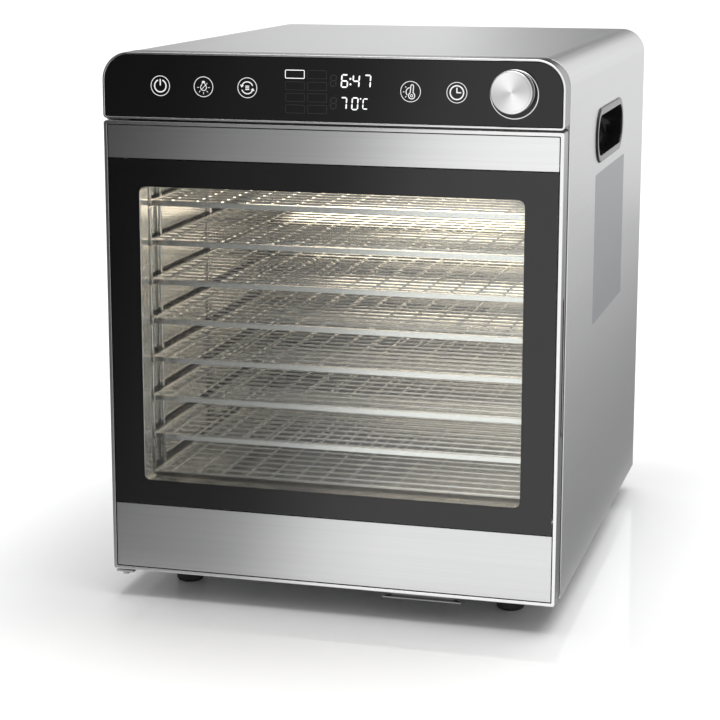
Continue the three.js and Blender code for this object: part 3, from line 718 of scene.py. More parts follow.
panelLow, panelHigh = span("control_bezel")
paneLow, paneHigh = span("control_glass")
knobLow, knobHigh = span("knob")
knobX, _, knobZ = middle("knob")
bezel = {"corner": 21, "rim": 1.6, "edge": 0.6, "foot": 3, "glassEdge": 0.35, "shaftHole": 4.5}


def controlPanel():
    outline = roundBox(panelLow.x, panelHigh.x, panelLow.z, panelHigh.z, bezel["corner"], bezel["foot"], 16)
    hole = inset(outline, bezel["rim"])
    mesh = plate("bezel", outline, [hole], "y", panelLow.y, panelHigh.y, bezel["edge"])
    addPiece("panel_bezel", mesh, bezelTrim, "cabinet", ["control_bezel"])
    glass = inset(outline, panelHigh.x - paneHigh.x)
    shaftHole = circle(knobX, knobZ, bezel["shaftHole"], 24)
    mesh = plate("glass", glass, [shaftHole], "y", paneLow.y, paneHigh.y, bezel["glassEdge"])
    addPiece("panel_glass", mesh, glassBlack, "cabinet", ["control_glass"])


knobShape = {
    "face": 0.12, "lip": 1.7, "edge": 0.9, "groove": (7.6, 7.9, 8.5, 8.8), "grooveDeep": 0.35,
    "wall": 2, "hollow": 3.3, "boss": 5, "bore": 3.3, "thick": 4,
}
ringShape = {"width": 0.9, "edge": 0.2}


def knobPiece():
    radius, y, end = knobHigh.x - knobX, knobLow.y, knobHigh.y
    edge, lip, face = knobShape["edge"], knobShape["lip"], knobShape["face"]
    wall, boss, bore = knobShape["wall"], knobShape["boss"], knobShape["bore"]
    deep, thick, floor = knobShape["grooveDeep"], knobShape["thick"], end - knobShape["hollow"]
    profile = [(0, y + face), (radius - lip, y + face), (radius - lip + 0.2, y)]
    profile += arc(radius - edge, y + edge, edge, -90, 0, 5)
    profile += [(radius - cut, y + along) for cut, along in zip((0, deep, deep, 0), knobShape["groove"])]
    profile += [(radius, end - 0.3), (radius - 0.3, end), (radius - wall, end), (radius - wall, floor)]
    profile += [(boss, floor), (boss, end), (bore, end), (bore, y + thick), (0, y + thick)]
    mesh = turned("knob", profile, (knobX, knobZ), "y", segments=128)
    addPiece("knob_cap", mesh, knobMetal, "control_knob", ["knob"], 25)


def knobRing():
    low, high = span("knob_ring")
    x, _, z = middle("knob_ring")
    outer, edge = high.x - x, ringShape["edge"]
    inner = outer - ringShape["width"]
    profile = [(inner, high.y), (outer, high.y), (outer, low.y + edge)]
    profile += [(outer - edge, low.y), (inner + edge, low.y), (inner, low.y + edge)]
    mesh = turned("ring", profile, (x, z), "y", loop=True, segments=96)
    addPiece("knob_trim_ring", mesh, trim, "cabinet", ["knob_ring"])


knobMetal = spunMetal("spun_knob_metal", (knobX * mm, knobZ * mm))
controlPanel()
knobPiece()
knobRing()


# Symbols are flat shapes just proud of the glass.
symbols = {
    "level": 393.75, "proud": 0.06, "ring": 7.45, "line": 0.48, "thick": 0.9,
    "power": -126.7, "light": -93.3, "airflow": -59.8, "heat": 61.6, "clock": 95.1,
}


def stroke(start, end, width):
    a, b = Vector(start), Vector(end)
    along = (b - a).normalized() * width / 2
    side = Vector((-along.y, along.x))
    turn = math.degrees(math.atan2(along.y, along.x))
    far = arc(b.x, b.y, width / 2, turn - 90, turn + 90, 6)
    return far + arc(a.x, a.y, width / 2, turn + 90, turn + 270, 6)


def flat(outer, holes=()):
    level = paneLow.y
    return plate("flat", outer, list(holes), "y", level - symbols["proud"], level + 0.02, 0)


def ring(x, z, radius, width, steps=56):
    return flat(circle(x, z, radius, steps), [circle(x, z, radius - width, steps)])


# Part of a ring, as an outline.
def bow(x, z, radius, width, start, end, steps=28):
    return arc(x, z, radius, start, end, steps) + arc(x, z, radius - width, end, start, steps)


def rays(x, z, turns, near, far, width):
    made = []
    for turn in turns:
        c, s = math.cos(math.radians(turn)), math.sin(math.radians(turn))
        made.append(flat(stroke((x + near * c, z + near * s), (x + far * c, z + far * s), width)))
    return made


def powerMark(x, z):
    thick = symbols["thick"]
    return [flat(bow(x, z, 4.9, thick, 112, 428)), flat(stroke((x, z + 0.6), (x, z + 4.6), thick))]


# A bulb with rays, struck through.
def lampMark(x, z):
    made = [flat(bow(x, z - 0.5, 2.5, 0.5, -235, 55))]
    for side in (-1, 1):
        made.append(flat(stroke((x + side * 1.4, z + 1.4), (x + side * 0.9, z + 2.6), 0.45)))
    made.append(flat(roundBox(x - 1.1, x + 1.1, z + 2.7, z + 4.2, 0.5, 0.2, 4)))
    made.append(flat(stroke((x - 1.6, z - 2.0), (x + 2.9, z + 2.6), 0.4)))
    return made + rays(x, z - 0.5, (-135, -90, -45, 0, 180), 3.5, 4.7, 0.4)


# Two arrows chasing round three short lines.
def airMark(x, z):
    made = []
    for start in (20, 200):
        made.append(flat(bow(x, z, 4.7, 0.8, start, start + 138)))
        tip = math.radians(start + 146)
        c, s = math.cos(tip), math.sin(tip)
        made.append(flat([
            (x + 4.3 * c - 1.0 * s, z + 4.3 * s + 1.0 * c),
            (x + 2.9 * c + 0.9 * s, z + 2.9 * s - 0.9 * c),
            (x + 5.8 * c + 0.9 * s, z + 5.8 * s - 0.9 * c),
        ]))
    for rise in (-1.2, 0, 1.2):
        made.append(flat(stroke((x - 1.2, z + rise), (x + 1.2, z + rise), 0.7)))
    return made


# A thermometer with half a sun beside it.
def heatMark(x, z):
    bulb = (x + 0.8, z - 2.9)
    stem = arc(*bulb, 2.6, 122, 418, 24) + arc(x + 1.2, z + 3.9, 1.3, 0, 180, 10)
    sun = (x - 0.2, z - 0.3)
    made = [flat(stem, [inset(stem, 0.65)]), ring(*bulb, 1.1, 0.5, 20), flat(bow(*sun, 3.4, 0.65, 96, 226))]
    return made + rays(*sun, (134, 180, 226), 4.5, 5.1, 0.55)


def clockMark(x, z):
    hands = [flat(stroke((x, z), end, 0.85)) for end in ((x, z + 3.1), (x + 2.8, z))]
    return [ring(x, z, 5.3, 0.95)] + hands


def panelSymbols():
    marks = {"power": powerMark, "light": lampMark, "airflow": airMark}
    marks.update({"heat": heatMark, "clock": clockMark})
    z = symbols["level"]
    made = [ring(symbols[key], z, symbols["ring"], symbols["line"]) for key in marks]
    for key, mark in marks.items():
        made += mark(symbols[key], z)
    # The printed symbols carry a painted glow.
    addPiece("panel_symbols", joined("symbols", made), iconGlowWhite, "cabinet")


# Seven-segment figures: a is the top bar, then clockwise, g in the middle.
figures = {"0": "abcdef", "4": "bcfg", "6": "acdefg", "7": "abc", "8": "abcdefg", "C": "adef"}
display = {
    "digitWidth": 4.4, "digitHeight": 8.7, "bar": 1.0, "lean": 0.07, "gap": 0.22,
    "timeLevel": 400.2, "heatLevel": 384.2,
    "boxes": (-31.2, 14.7, 16.6), "boxHeight": 6.3, "boxPitch": 8.3, "boxTop": 407.4, "line": 0.5,
}


def digit(x, z, sign, scale=1.0):
    w, h = display["digitWidth"] * scale / 2, display["digitHeight"] * scale / 2
    bar, gap = display["bar"] * scale, display["gap"]
    places = {
        "a": (-w, h, w, h), "b": (w, h, w, 0), "c": (w, 0, w, -h), "d": (-w, -h, w, -h),
        "e": (-w, 0, -w, -h), "f": (-w, h, -w, 0), "g": (-w, 0, w, 0),
    }
    made = []
    for letter in figures[sign]:
        x0, z0, x1, z1 = places[letter]
        a, b = Vector((x0, z0)), Vector((x1, z1))
        along = (b - a).normalized()
        side = Vector((-along.y, along.x)) * bar / 2
        a, b = a + along * gap, b - along * gap
        tip = along * bar / 2
        loop = [a, a + tip - side, b - tip - side, b, b - tip + side, a + tip + side]
        made.append(flat([(x + p.x + p.y * display["lean"], z + p.y) for p in loop]))
    return made


def displayFigures():
    time, heat = display["timeLevel"], display["heatLevel"]
    lit = digit(13.2, time, "6") + digit(21.7, time, "4") + digit(30.0, time, "7")
    lit += [flat(circle(17.5, time + rise, 0.75, 16)) for rise in (-2.3, 1.6)]
    lit += digit(12.4, heat, "7", 0.95) + digit(20.8, heat, "0", 0.95) + digit(28.6, heat, "C", 0.82)
    lit.append(flat(circle(25.0, heat + 3.6, 0.6, 16)))
    left, wide, step = display["boxes"]
    line = display["line"]
    top, high = display["boxTop"], display["boxHeight"]
    dim = []
    for row in range(4):
        for column in range(2):
            x0, z1 = left + column * step, top - row * display["boxPitch"]
            outer = roundBox(x0, x0 + wide, z1 - high, z1, 0.9, 0.9, 4)
            target = lit if row == column == 0 else dim
            target.append(flat(outer, [inset(outer, line)]))
    for level in (time, heat):
        dim += digit(4.9, level, "8", 0.9)
    addPiece("display_figures", joined("figures", lit), litWhite, "cabinet")
    # The unlit segments carry a faint painted glow.
    addPiece("display_unlit", joined("unlit", dim), unlitFaintGlow, "cabinet")


panelSymbols()
displayFigures()
print("control panel made")

# The door

doorShape = {"corner": 2.0, "rim": 2.6, "edge": 0.5, "groove": 13.0, "openingCorner": 0.8, "pinHole": 2.8}
slotBox = {"x": 160, "y": 9, "low": 147, "high": 248}
glassLow, glassHigh = span("door_glass")
window = {"halfWidth": 144.9, "low": 94.4, "high": 319.2, "corner": 5, "print": 0.1}
lip = {"halfWidth": 146, "low": 92, "high": 320, "corner": 6, "wall": 1}


def doorFrame():
    rim, groove = doorShape["rim"], front + doorShape["groove"]
    outline = roundBox(doorLow.x, doorHigh.x, doorLow.z, doorHigh.z, doorShape["corner"], None, 6)
    sides = doorLow.x + rim, doorHigh.x - rim, doorLow.z + rim, doorHigh.z - rim
    opening = roundBox(*sides, doorShape["openingCorner"], None, 3)
    e = doorShape["edge"]
    steps = [(e, front), (e * 0.5, front + e * 0.13), (e * 0.13, front + e * 0.5), (0, front + e)]
    steps += [(0, groove - 0.3), (0.5, groove), (0.5, groove + 0.3), (0.1, groove + 0.6), (0, groove + 1.2)]
    steps += [(0, doorHigh.y - 2.6), (0.35, doorHigh.y - 1.0), (1.0, doorHigh.y)]
    mesh = plate("frame", outline, [opening], "y", front, doorHigh.y, 0.3, steps)
    cut = box(slotBox["x"], doorHigh.x + 1, slotBox["low"], slotBox["high"])
    mesh = carved(mesh, plate("slot", cut, [], "y", front + slotBox["y"], doorHigh.y + 1, 0))
    pinX, pinY, _ = middle("hinge_pin_upper")
    pinHole = circle(pinX, pinY, doorShape["pinHole"], 24)
    for low, high in ((doorLow.z - 1, doorLow.z + rim + 1), (doorHigh.z - rim - 1, doorHigh.z + 1)):
        mesh = carved(mesh, plate("pins", pinHole, [], "z", low, high, 0))
    addPiece("door_surround", mesh, frameTrim, "door", ["door_frame"], 35)


def doorFace():
    for name in ("upper", "lower"):
        low, high = span("door_band_" + name)
        outline = roundBox(low.x, high.x, low.z, high.z, 0.6, 0.6, 3)
        mesh = plate("band", outline, [], "y", low.y, low.y + 1.6, 0.4)
        # The lower band takes the darker copy of the steel, painted shade.
        steel = steelFront if name == "upper" else steelLowerShaded
        addPiece(f"door_{name}_band", mesh, steel, "door", ["door_band_" + name])
    outline = box(glassLow.x, glassHigh.x, glassLow.z, glassHigh.z)
    mesh = plate("pane", outline, [], "y", glassLow.y, glassHigh.y, 0.3)
    addPiece("door_pane", mesh, glassClear, "door", ["door_glass"])
    sides = -window["halfWidth"], window["halfWidth"], window["low"], window["high"]
    opening = roundBox(*sides, window["corner"], None, 12)
    level = glassLow.y - 0.02
    mesh = plate("print", inset(outline, 0.3), [opening], "y", level - window["print"], level, 0)
    addPiece("door_pane_border", mesh, printBlack, "door")


linerLow, linerHigh = span("door_liner")


def doorBack():
    wall = roundBox(-lip["halfWidth"], lip["halfWidth"], lip["low"], lip["high"], lip["corner"], None, 12)
    outer = inset(wall, -lip["wall"])
    flare = [(0.9, linerLow.y), (0.4, linerLow.y + 0.4), (0, linerLow.y + 1.3), (0, linerHigh.y)]
    made = [plate("lip", outer, [wall], "y", linerLow.y, linerHigh.y, 0, holeSteps=flare)]
    sheet = box(linerLow.x, linerHigh.x, linerLow.z, linerHigh.z)
    scoop = box(slotBox["x"] - 1, linerHigh.x - 0.2, slotBox["low"] - 1, slotBox["high"] + 1)
    made.append(plate("back", sheet, [inset(outer, 0.05), scoop], "y", linerHigh.y - 1, linerHigh.y, 0.2))
    pocket = [(slotBox["x"] - 1, front + slotBox["y"] - 1), (linerHigh.x, front + slotBox["y"] - 1)]
    pocket += [(linerHigh.x, front + slotBox["y"]), (slotBox["x"], front + slotBox["y"])]
    pocket += [(slotBox["x"], linerHigh.y), (slotBox["x"] - 1, linerHigh.y)]
    made.append(plate("pocket", pocket, [], "z", slotBox["low"], slotBox["high"], 0))
    for low in (slotBox["low"] - 1, slotBox["high"]):
        end = box(slotBox["x"] - 1, linerHigh.x, front + slotBox["y"] - 1, linerHigh.y)
        made.append(plate("end", end, [], "z", low, low + 1, 0))
    addPiece("door_inner_sheet", joined("liner", made), liner, "door", ["door_liner"])
    low, high = span("door_inner_glass")
    outline = roundBox(low.x, high.x, low.z, high.z, lip["corner"] - 0.3, None, 10)
    mesh = plate("inner", outline, [], "y", low.y, high.y, 0.3)
    addPiece("door_inner_pane", mesh, glassClear, "door", ["door_inner_glass"])
    low, high = span("door_seal")
    outline = roundBox(low.x, high.x, low.z, high.z, 8, None, 10)
    mesh = plate("seal", outline, [inset(outline, 3.5)], "y", low.y, high.y, 0.7)
    addPiece("door_gasket", mesh, rubber, "door", ["door_seal"])


doorFrame()
doorFace()
doorBack()
print("door made")

# Geometry Nodes recipes, drawn in millimetres like every other mesh.
class Recipe(Graph):
    prefix = "GeometryNode"

    def __init__(self, name, inputs):
        super().__init__(bpy.data.node_groups.new(name, "GeometryNodeTree"))
        face = self.tree.interface
        self.keys = {}
        for label, kind in inputs.items():
            socket = face.new_socket(name=label, in_out="INPUT", socket_type="NodeSocket" + kind)
            self.keys[label] = socket.identifier
        face.new_socket(name="Geometry", in_out="OUTPUT", socket_type="NodeSocketGeometry")
        self.entry = self.tree.nodes.new("NodeGroupInput")
        self.exit = self.tree.nodes.new("NodeGroupOutput")

    def given(self, label):
        return Value(self, self.entry.outputs[label])

    def close(self, geometry):
        whole = self.node("RealizeInstances", {}, {"Geometry": geometry})
        painted = self.node(
            "SetMaterial", {}, {"Geometry": whole, "Material": self.given("Material")}
        )
        self.tree.links.new(painted.socket, self.exit.inputs["Geometry"])

    def cook(self, name, base=None, **values):
        obj = holder(base or bpy.data.meshes.new(name))
        obj.name = name
        modifier = obj.modifiers.new("recipe", "NODES")
        modifier.node_group = self.tree
        for label, value in values.items():
            modifier[self.keys[label]] = value
        return baked(obj)


# A row of equal round bars: the first starts at Start, each next one is moved by Step.
def barRow():
    recipe = Recipe("bar_row", {
        "Start": "Vector", "Step": "Vector", "Reach": "Vector", "Count": "Int",
        "Radius": "Float", "Sides": "Int", "Material": "Material",
    })
    points = recipe.node("MeshLine", {"mode": "OFFSET"}, {
        "Count": recipe.given("Count"), "Start Location": recipe.given("Start"),
        "Offset": recipe.given("Step"),
    })
    line = recipe.node("CurvePrimitiveLine", {}, {"End": recipe.given("Reach")})
    section = recipe.node("CurvePrimitiveCircle", {}, {
        "Resolution": recipe.given("Sides"), "Radius": recipe.given("Radius"),
    })
    bar = recipe.node("CurveToMesh", {}, {
        "Curve": line, "Profile Curve": section, "Fill Caps": True,
    })
    recipe.close(recipe.node("InstanceOnPoints", {}, {"Points": points, "Instance": bar}))
    return recipe


# Rings of one wire about the y axis, each wider than the last by Pitch.
def ringStack():
    recipe = Recipe("ring_stack", {
        "Centre": "Vector", "First": "Float", "Pitch": "Float", "Count": "Int",
        "Radius": "Float", "Material": "Material",
    })
    points = recipe.node("MeshLine", {"mode": "OFFSET"}, {
        "Count": recipe.given("Count"), "Start Location": recipe.given("Centre"), "Offset": (0, 0, 0),
    })
    hoop = recipe.node("CurvePrimitiveCircle", {}, {"Resolution": 72, "Radius": 1.0})
    index = recipe.node("InputIndex")
    size = recipe.given("First") + index * recipe.given("Pitch")
    hoops = recipe.node("InstanceOnPoints", {}, {
        "Points": points, "Instance": hoop, "Scale": size, "Rotation": (math.radians(90), 0, 0),
    })
    curves = recipe.node("RealizeInstances", {}, {"Geometry": hoops})
    section = recipe.node("CurvePrimitiveCircle", {}, {
        "Resolution": 8, "Radius": recipe.given("Radius"),
    })
    recipe.close(recipe.node("CurveToMesh", {}, {"Curve": curves, "Profile Curve": section}))
    return recipe


# One screw on each point of the base mesh, each turned by its own chance angle about Axis.
def screwPattern():
    recipe = Recipe("screw_pattern", {
        "Points": "Geometry", "Screw": "Object", "Axis": "Vector", "Seed": "Int", "Material": "Material",
    })
    screw = recipe.node("ObjectInfo", {}, {"Object": recipe.given("Screw")}, output="Geometry")
    turn = recipe.node("FunctionNodeRandomValue", {"data_type": "FLOAT"}, {
        2: 0.0, 3: tau, "Seed": recipe.given("Seed"),
    }, output=1)
    axis = recipe.given("Axis")
    spin = recipe.node("ShaderNodeVectorMath", {"operation": "SCALE"}, {0: axis, "Scale": turn})
    recipe.close(recipe.node("InstanceOnPoints", {}, {
        "Points": recipe.given("Points"), "Instance": screw, "Rotation": spin,
    }))
    return recipe


bars = barRow()
hoops = ringStack()
screws = screwPattern()


def rods(start, step, count, reach, radius, material, sides=8):
    values = {"Start": start, "Step": step, "Count": count, "Reach": reach, "Radius": radius}
    return bars.cook("rods", Sides=sides, Material=material, **values)


# Trays and racks

tray = {"railWide": 2.6, "corner": 4.0, "edge": 0.35, "crossPitch": 14.0, "longPitch": 20.0, "wireEnd": 1.2}
trayWire = {"cross": 0.75, "long": 0.9, "crossRise": 0.7, "overlap": 0.1}


# Wires from rail to rail, spread evenly over the tray: along x if along is 0, along y if it is 1.
def trayWires(low, high, along, pitch, level, radius):
    across = 1 - along
    count = int((high[across] - low[across]) / pitch)
    start, step, reach = [0.0, 0.0, level], [0.0, 0.0, 0.0], [0.0, 0.0, 0.0]
    start[across] = low[across] + (high[across] - low[across] - (count - 1) * pitch) / 2
    start[along] = low[along] + tray["wireEnd"]
    step[across] = pitch
    reach[along] = high[along] - low[along] - 2 * tray["wireEnd"]
    return rods(tuple(start), tuple(step), count, tuple(reach), radius, trayMetal, 6)


def wireTray(index):
    low, high = span(f"tray_{index}")
    level = (low.z + high.z) / 2
    outline = roundBox(low.x, high.x, low.y, high.y, tray["corner"], None, 6)
    inside = inset(outline, tray["railWide"])
    made = [plate("rail", outline, [inside], "z", low.z, high.z, tray["edge"])]
    rise, cross, long = trayWire["crossRise"], trayWire["cross"], trayWire["long"]
    made.append(trayWires(low, high, 0, tray["crossPitch"], level + rise, cross))
    under = level + (rise - cross - long) + trayWire["overlap"]
    made.append(trayWires(low, high, 1, tray["longPitch"], under, long))
    name = f"tray_{index}"
    addPiece(name + "_wires", joined("tray", made), trayMetal, f"tray_slide_{index}", [name])


rack = {"post": 1.5, "runner": 1.4, "posts": (14, 36, 152, 268, 290.6)}


def sideRack(side):
    name = "tray_rack_" + ("right" if side > 0 else "left")
    low, high = span(name)
    outer = side * (max(abs(low.x), abs(high.x)) - rack["post"])
    inner = side * (min(abs(low.x), abs(high.x)) + rack["runner"] + 0.1)
    first, last = span("tray_8")[0].z, span("tray_1")[0].z
    pitch = (last - first) / 7
    made = []
    for offset in rack["posts"]:
        foot, tall = (outer, low.y + offset, low.z), (0, 0, high.z - low.z)
        made.append(rods(foot, (0, 0, 0), 1, tall, rack["post"], wire, 12))
    level = first - 0.3 - rack["runner"]
    for x in (inner, outer):
        length = high.y - low.y if x == inner else rack["posts"][-1] - rack["posts"][0]
        start = low.y if x == inner else low.y + rack["posts"][0]
        made.append(rods((x, start, level), (0, 0, pitch), 8, (0, length, 0), rack["runner"], wire, 10))
    for offset in (rack["posts"][0], rack["posts"][-1]):
        start, reach = (outer, low.y + offset + 0.1, level), (inner - outer, 0, 0)
        made.append(rods(start, (0, 0, pitch), 8, reach, rack["runner"] * 0.9, wire, 8))
    addPiece(name + "_wires", joined("rack", made), wire, "cabinet", [name])


for number in range(1, 9):
    wireTray(number)
sideRack(1)
sideRack(-1)
print("trays and racks made")

# The chamber

baffle = {
    "intake": 58, "slotFrom": 104, "slotTo": 140, "slotHeight": 8, "rise": 14.0, "edge": 0.25, "corner": 2,
}
guard = {"wire": 0.8, "first": 9, "pitch": 7, "count": 8, "spokes": 4, "spokeEnd": 3}


def airBaffle():
    low, high = span("air_baffle")
    outline = roundBox(low.x, high.x, low.z, high.z, baffle["corner"], None, 4)
    holes = [circle(0, fanZ, baffle["intake"], 72)]
    length = baffle["slotTo"] - baffle["slotFrom"]
    for number in range(1, 9):
        z = span(f"tray_{number}")[0].z + baffle["rise"]
        for side in (-1, 1):
            centre = side * (baffle["slotFrom"] + length / 2)
            holes.append(obround(centre, z, length, baffle["slotHeight"], 8))
    mesh = plate("baffle", outline, holes, "y", low.y, high.y, baffle["edge"])
    addPiece("air_baffle_sheet", mesh, liner, "cabinet", ["air_baffle"])
    y = low.y - guard["wire"] - 0.1
    made = [hoops.cook(
        "guard", Centre=(0, y, fanZ), First=float(guard["first"]), Pitch=float(guard["pitch"]),
        Count=guard["count"], Radius=guard["wire"], Material=wire,
    )]
    reach = guard["first"] + guard["pitch"] * (guard["count"] - 1) + guard["spokeEnd"]
    for i in range(guard["spokes"]):
        turn = math.pi * (i + 0.5) / guard["spokes"]
        c, s = math.cos(turn) * reach, math.sin(turn) * reach
        made.append(rods((-c, y, fanZ - s), (0, 0, 0), 1, (2 * c, 0, 2 * s), guard["wire"], wire))
    addPiece("fan_guard", joined("guard", made), wire, "cabinet")


def lampLens():
    low, high = span("lamp_lens")
    radius = (high.x - low.x) / 2
    profile = [(0, low.z + 0.1), (radius * 0.5, low.z + 0.2), (radius - 2, low.z + 0.6)]
    profile += [(radius, low.z + 1.2), (radius, high.z), (0, high.z)]
    mesh = turned("lens", profile, middle("lamp_lens")[:2], "z", segments=56)
    addPiece("lamp_cover", mesh, lampGlow, "cabinet", ["lamp_lens"])


airBaffle()
lampLens()
paint(liner, "chamber_wall_left", "chamber_wall_right", "chamber_floor", "chamber_ceiling")
paint(zinc, "base_pan", "plenum_wall", "motor_bracket", "lamp_housing", "encoder_shaft", "fan_impeller")
paint(zinc, "fan_shaft", "hinge_bracket_lower", "hinge_bracket_upper", "strike_plate")
paint(screwMetal, "hinge_pin_lower", "hinge_pin_upper")
paint(wire, "temp_sensor")
paint(motorMetal, "fan_motor", "door_magnet")
paint(heaterMetal, "heater_coil")
paint(blackPlastic, "display_module", "rotary_encoder", "thermal_cutoff")
paint(boardGreen, "display_board", "power_board")
# The door lip's dark tone is painted shade.
paint(lipShadedMetal, "door_lip")


# Screws and the plain sticker

screwShape = {"head": 3.4, "height": 1.5, "slot": 0.8, "depth": 0.9}


def screwMesh(axis, outward):
    r, h = screwShape["head"], screwShape["height"]
    profile = [(0, -0.3), (r, -0.3), (r, h * 0.35), (r * 0.86, h * 0.72), (r * 0.55, h * 0.94), (0, h)]
    profile = [(radius, along * outward) for radius, along in profile]
    mesh = turned("screw", profile, (0, 0), axis, segments=24)
    w = screwShape["slot"] / 2
    for wide, tall in ((r * 0.6, w), (w, r * 0.6)):
        ends = sorted((outward * (h - screwShape["depth"]), outward * (h + 1)))
        mesh = carved(mesh, plate("cut", box(-wide, wide, -tall, tall), [], axis, ends[0], ends[1], 0))
    return mesh


def screwSet(name, places, axis, outward, seed):
    tool = holder(screwMesh(axis, outward))
    points = bpy.data.meshes.new("points")
    points.from_pydata(places, [], [])
    along = {"x": (1, 0, 0), "y": (0, 1, 0), "z": (0, 0, 1)}[axis]
    mesh = screws.cook(name, points, Screw=tool, Axis=along, Seed=seed, Material=screwMetal)
    bpy.data.objects.remove(tool)
    addPiece(name, mesh, screwMetal, "cabinet")


screwPlaces = {
    "side": 160, "sideLevels": (36, 140, 262, 384), "top": 403, "topPlaces": (-90, 0, 90),
    "coverMargin": 9, "coverRise": -1.5, "base": ((150, -150), (150, 60), (60, 180)), "baseRise": 0.1,
}


def allScrews():
    y = backHigh.y
    rear = [(side * screwPlaces["side"], y, z) for side in (-1, 1) for z in screwPlaces["sideLevels"]]
    rear += [(x, y, screwPlaces["top"]) for x in screwPlaces["topPlaces"]]
    screwSet("rear_sheet_screws", rear, "y", 1, 3)
    reach = coverHigh.x - screwPlaces["coverMargin"]
    drop = (coverHigh.z - coverLow.z) / 2 - screwPlaces["coverMargin"]
    level = coverHigh.y + screwPlaces["coverRise"]
    corners = [(sx * reach, level, fanZ + sz * drop) for sx in (-1, 1) for sz in (-1, 1)]
    screwSet("fan_cover_screws", corners, "y", 1, 5)
    base = span("base_pan")[0].z + screwPlaces["baseRise"]
    under = [(side * x, y, base) for side in (-1, 1) for x, y in screwPlaces["base"]]
    screwSet("base_screws", under, "z", -1, 7)


sticker = {
    "front": 145, "back": 297, "low": 203.5, "high": 320.4, "thick": 0.1, "corner": 2, "standOff": 0.02,
}


def sideSticker():
    y0, y1 = front + sticker["front"], front + sticker["back"]
    x = halfWidth + sticker["standOff"]
    outline = roundBox(y0, y1, sticker["low"], sticker["high"], sticker["corner"], None, 5)
    mesh = plate("sticker", outline, [], "x", x, x + sticker["thick"], 0)
    addPiece("side_sticker", mesh, stickerGrey, "cabinet")


allScrews()
sideSticker()
print("chamber, screws and sticker made")

# Studio

studio = {
    "camera": (0.40801, -1.6168, 0.51663), "turn": (78.535, 0.009, 15.535),
    "lens": 102.147, "shift": (0.01437, -0.04371),
    "ambient": 0.49, "backdrop": 1.0,
    "floorTone": 0.96, "floorReach": 40, "mirrorReach": 0.18, "mirrorRoughness": 0.07,
}
lamps = {"key": 2.4, "keyAngle": 55, "chamber": 0.68, "chamberSize": 0.22, "warm": (1, 0.86, 0.68)}
# Each card's brightness runs along its x axis; slope leans that run towards its y axis.
cards = {
    "front_card": {
        "place": (0, front * mm - 0.165, 0.455), "turn": (-75, 0, 0), "size": (1.2, 0.94), "slope": 0.21,
        "stops": [
            (0.0, 0.03), (0.29, 0.05), (0.363, 0.13), (0.391, 0.2), (0.419, 0.31), (0.447, 0.37),
            (0.475, 0.43), (0.503, 0.56), (0.531, 0.86), (0.559, 1.2), (0.6, 1.4), (1.0, 1.5),
        ],
    },
    "back_card": {
        "place": (-0.2, 1.6, 1.55), "turn": (90, 0, 0), "size": (4.0, 3.0), "slope": 0.0,
        "stops": [
            (0.0, 0.18), (0.3, 0.25), (0.39, 0.66), (0.47, 0.84), (0.5, 0.4), (0.53, 0.13), (0.6, 0.11),
            (0.625, 1.0), (1.0, 1.0),
        ],
    },
    "side_card": {
        "place": (halfWidth * mm + 0.008 + 0.45, 1.6, 0.2), "turn": (0, -24.2, 0),
        "size": (0.98, 4.2), "slope": 0.0,
        "stops": [
            (0.0, 0.27), (0.05, 0.3), (0.12, 0.34), (0.17, 0.41), (0.24, 0.57), (0.32, 0.79), (1.0, 0.95),
        ],
    },
}


def cameraSetup():
    data = bpy.data.cameras.new("camera")
    data.lens, data.sensor_width = studio["lens"], 36
    data.shift_x, data.shift_y = studio["shift"]
    camera = bpy.data.objects.new("camera", data)
    camera.location = studio["camera"]
    camera.rotation_euler = [math.radians(a) for a in studio["turn"]]
    scene.collection.objects.link(camera)
    scene.camera = camera


# A flat four-sided sheet, for the floor and the cards.
def quad(name, wide, tall, material):
    w, h = wide / 2, tall / 2
    mesh = bpy.data.meshes.new(name)
    mesh.from_pydata([(-w, -h, 0), (w, -h, 0), (w, h, 0), (-w, h, 0)], [], [(0, 1, 2, 3)])
    mesh.materials.append(material)
    return holder(mesh)


# White floor that mirrors faintly, and only round the object's foot.
def floorSetup():
    finish = Finish("studio_floor", Roughness=0.9, SpecularIORLevel=0.0)
    tone = studio["floorTone"]
    finish.set(BaseColor=finish.blend(finish.noise(3.0), rgb(tone * 0.99), rgb(tone)))
    away = []
    for key, half in (("X", cadBox[1].x), ("Y", cadBox[1].y)):
        size = finish.node("Math", {"operation": "ABSOLUTE"}, {0: finish.axis(key)})
        away.append(finish.node("Math", {"operation": "MAXIMUM"}, {0: size - half, 1: 0.0}))
    distance = (away[0] * away[0] + away[1] * away[1]) ** 0.5
    near = finish.node(
        "MapRange", {"interpolation_type": "SMOOTHSTEP"},
        {"Value": distance, "From Max": studio["mirrorReach"], "To Min": 1.0, "To Max": 0.0},
    )
    gloss = {"Color": rgb(1), "Roughness": studio["mirrorRoughness"]}
    mirror = finish.node("BsdfGlossy", {}, gloss)
    slant = finish.node("Fresnel", {}, {"IOR": 1.45})
    base = Value(finish, finish.shader.outputs[0])
    finish.surface(finish.node("MixShader", {}, {0: slant * near, 1: base, 2: mirror}))
    side = 2 * studio["floorReach"]
    quad("studio_floor", side, side, finish.material)


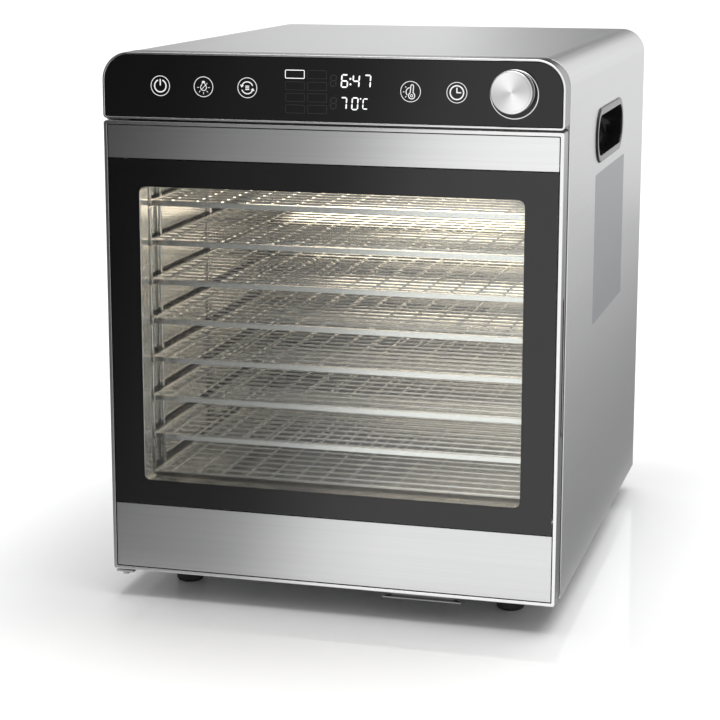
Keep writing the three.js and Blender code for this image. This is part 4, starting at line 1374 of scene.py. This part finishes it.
# A card that glows on one face, and only for reflections.
def card(name, place, turn, size, slope, stops):
    finish = Finish(name)
    finish.tree.nodes.remove(finish.shader)
    share = (finish.axis("X") + finish.axis("Y") * slope) / size[0] + 0.5
    colour = finish.node("ValToRGB", {"stops": [(p, rgb(v)) for p, v in stops]}, {"Fac": share})
    glow = finish.node("Emission", {}, {"Color": colour, "Strength": 1.0})
    rear = finish.node("NewGeometry", {}, {}, output="Backfacing")
    clear = finish.node("BsdfTransparent", {}, {"Color": rgb(1)})
    finish.surface(finish.node("MixShader", {}, {0: rear, 1: glow, 2: clear}))
    obj = quad(name, *size, finish.material)
    obj.location = place
    obj.rotation_euler = [math.radians(a) for a in turn]
    for ray in ("camera", "diffuse", "transmission", "volume_scatter", "shadow"):
        setattr(obj, "visible_" + ray, False)


def lamp(name, kind, place, target, energy, size, colour=(1, 1, 1)):
    data = bpy.data.lights.new(name, kind)
    data.energy, data.color = energy, colour
    if kind == "AREA":
        data.shape, data.size = "DISK", size
    else:
        data.angle = math.radians(size)
    light = bpy.data.objects.new(name, data)
    light.location = place
    light.rotation_euler = (Vector(target) - Vector(place)).to_track_quat("-Z", "Y").to_euler()
    scene.collection.objects.link(light)


def lightSetup():
    world = bpy.data.worlds.new("studio")
    world.use_nodes = True
    backdrop = Graph(world.node_tree)
    matt = backdrop.node("LightPath", output="Is Diffuse Ray")
    strength = studio["backdrop"] - matt * (studio["backdrop"] - studio["ambient"])
    background = world.node_tree.nodes["Background"]
    world.node_tree.links.new(strength.socket, background.inputs["Strength"])
    background.inputs["Color"].default_value = (1, 1, 1, 1)
    scene.world = world
    lamp("key", "SUN", (0.28, 0.3, 2.0), (0, 0, 0), lamps["key"], lamps["keyAngle"])
    lensLow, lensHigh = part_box("lamp_lens")
    spot = (lensLow + lensHigh) / 2
    above = (0, spot.y + 0.04, lensLow.z - 0.004)
    energy, size = lamps["chamber"], lamps["chamberSize"]
    lamp("chamber_light", "AREA", above, (0, spot.y, 0), energy, size, lamps["warm"])
    for name, settings in cards.items():
        card(name, **settings)


cameraSetup()
floorSetup()
lightSetup()
scene.view_settings.view_transform = "Standard"
scene.cycles.transparent_max_bounces = 32  # the two door panes are crossed many times
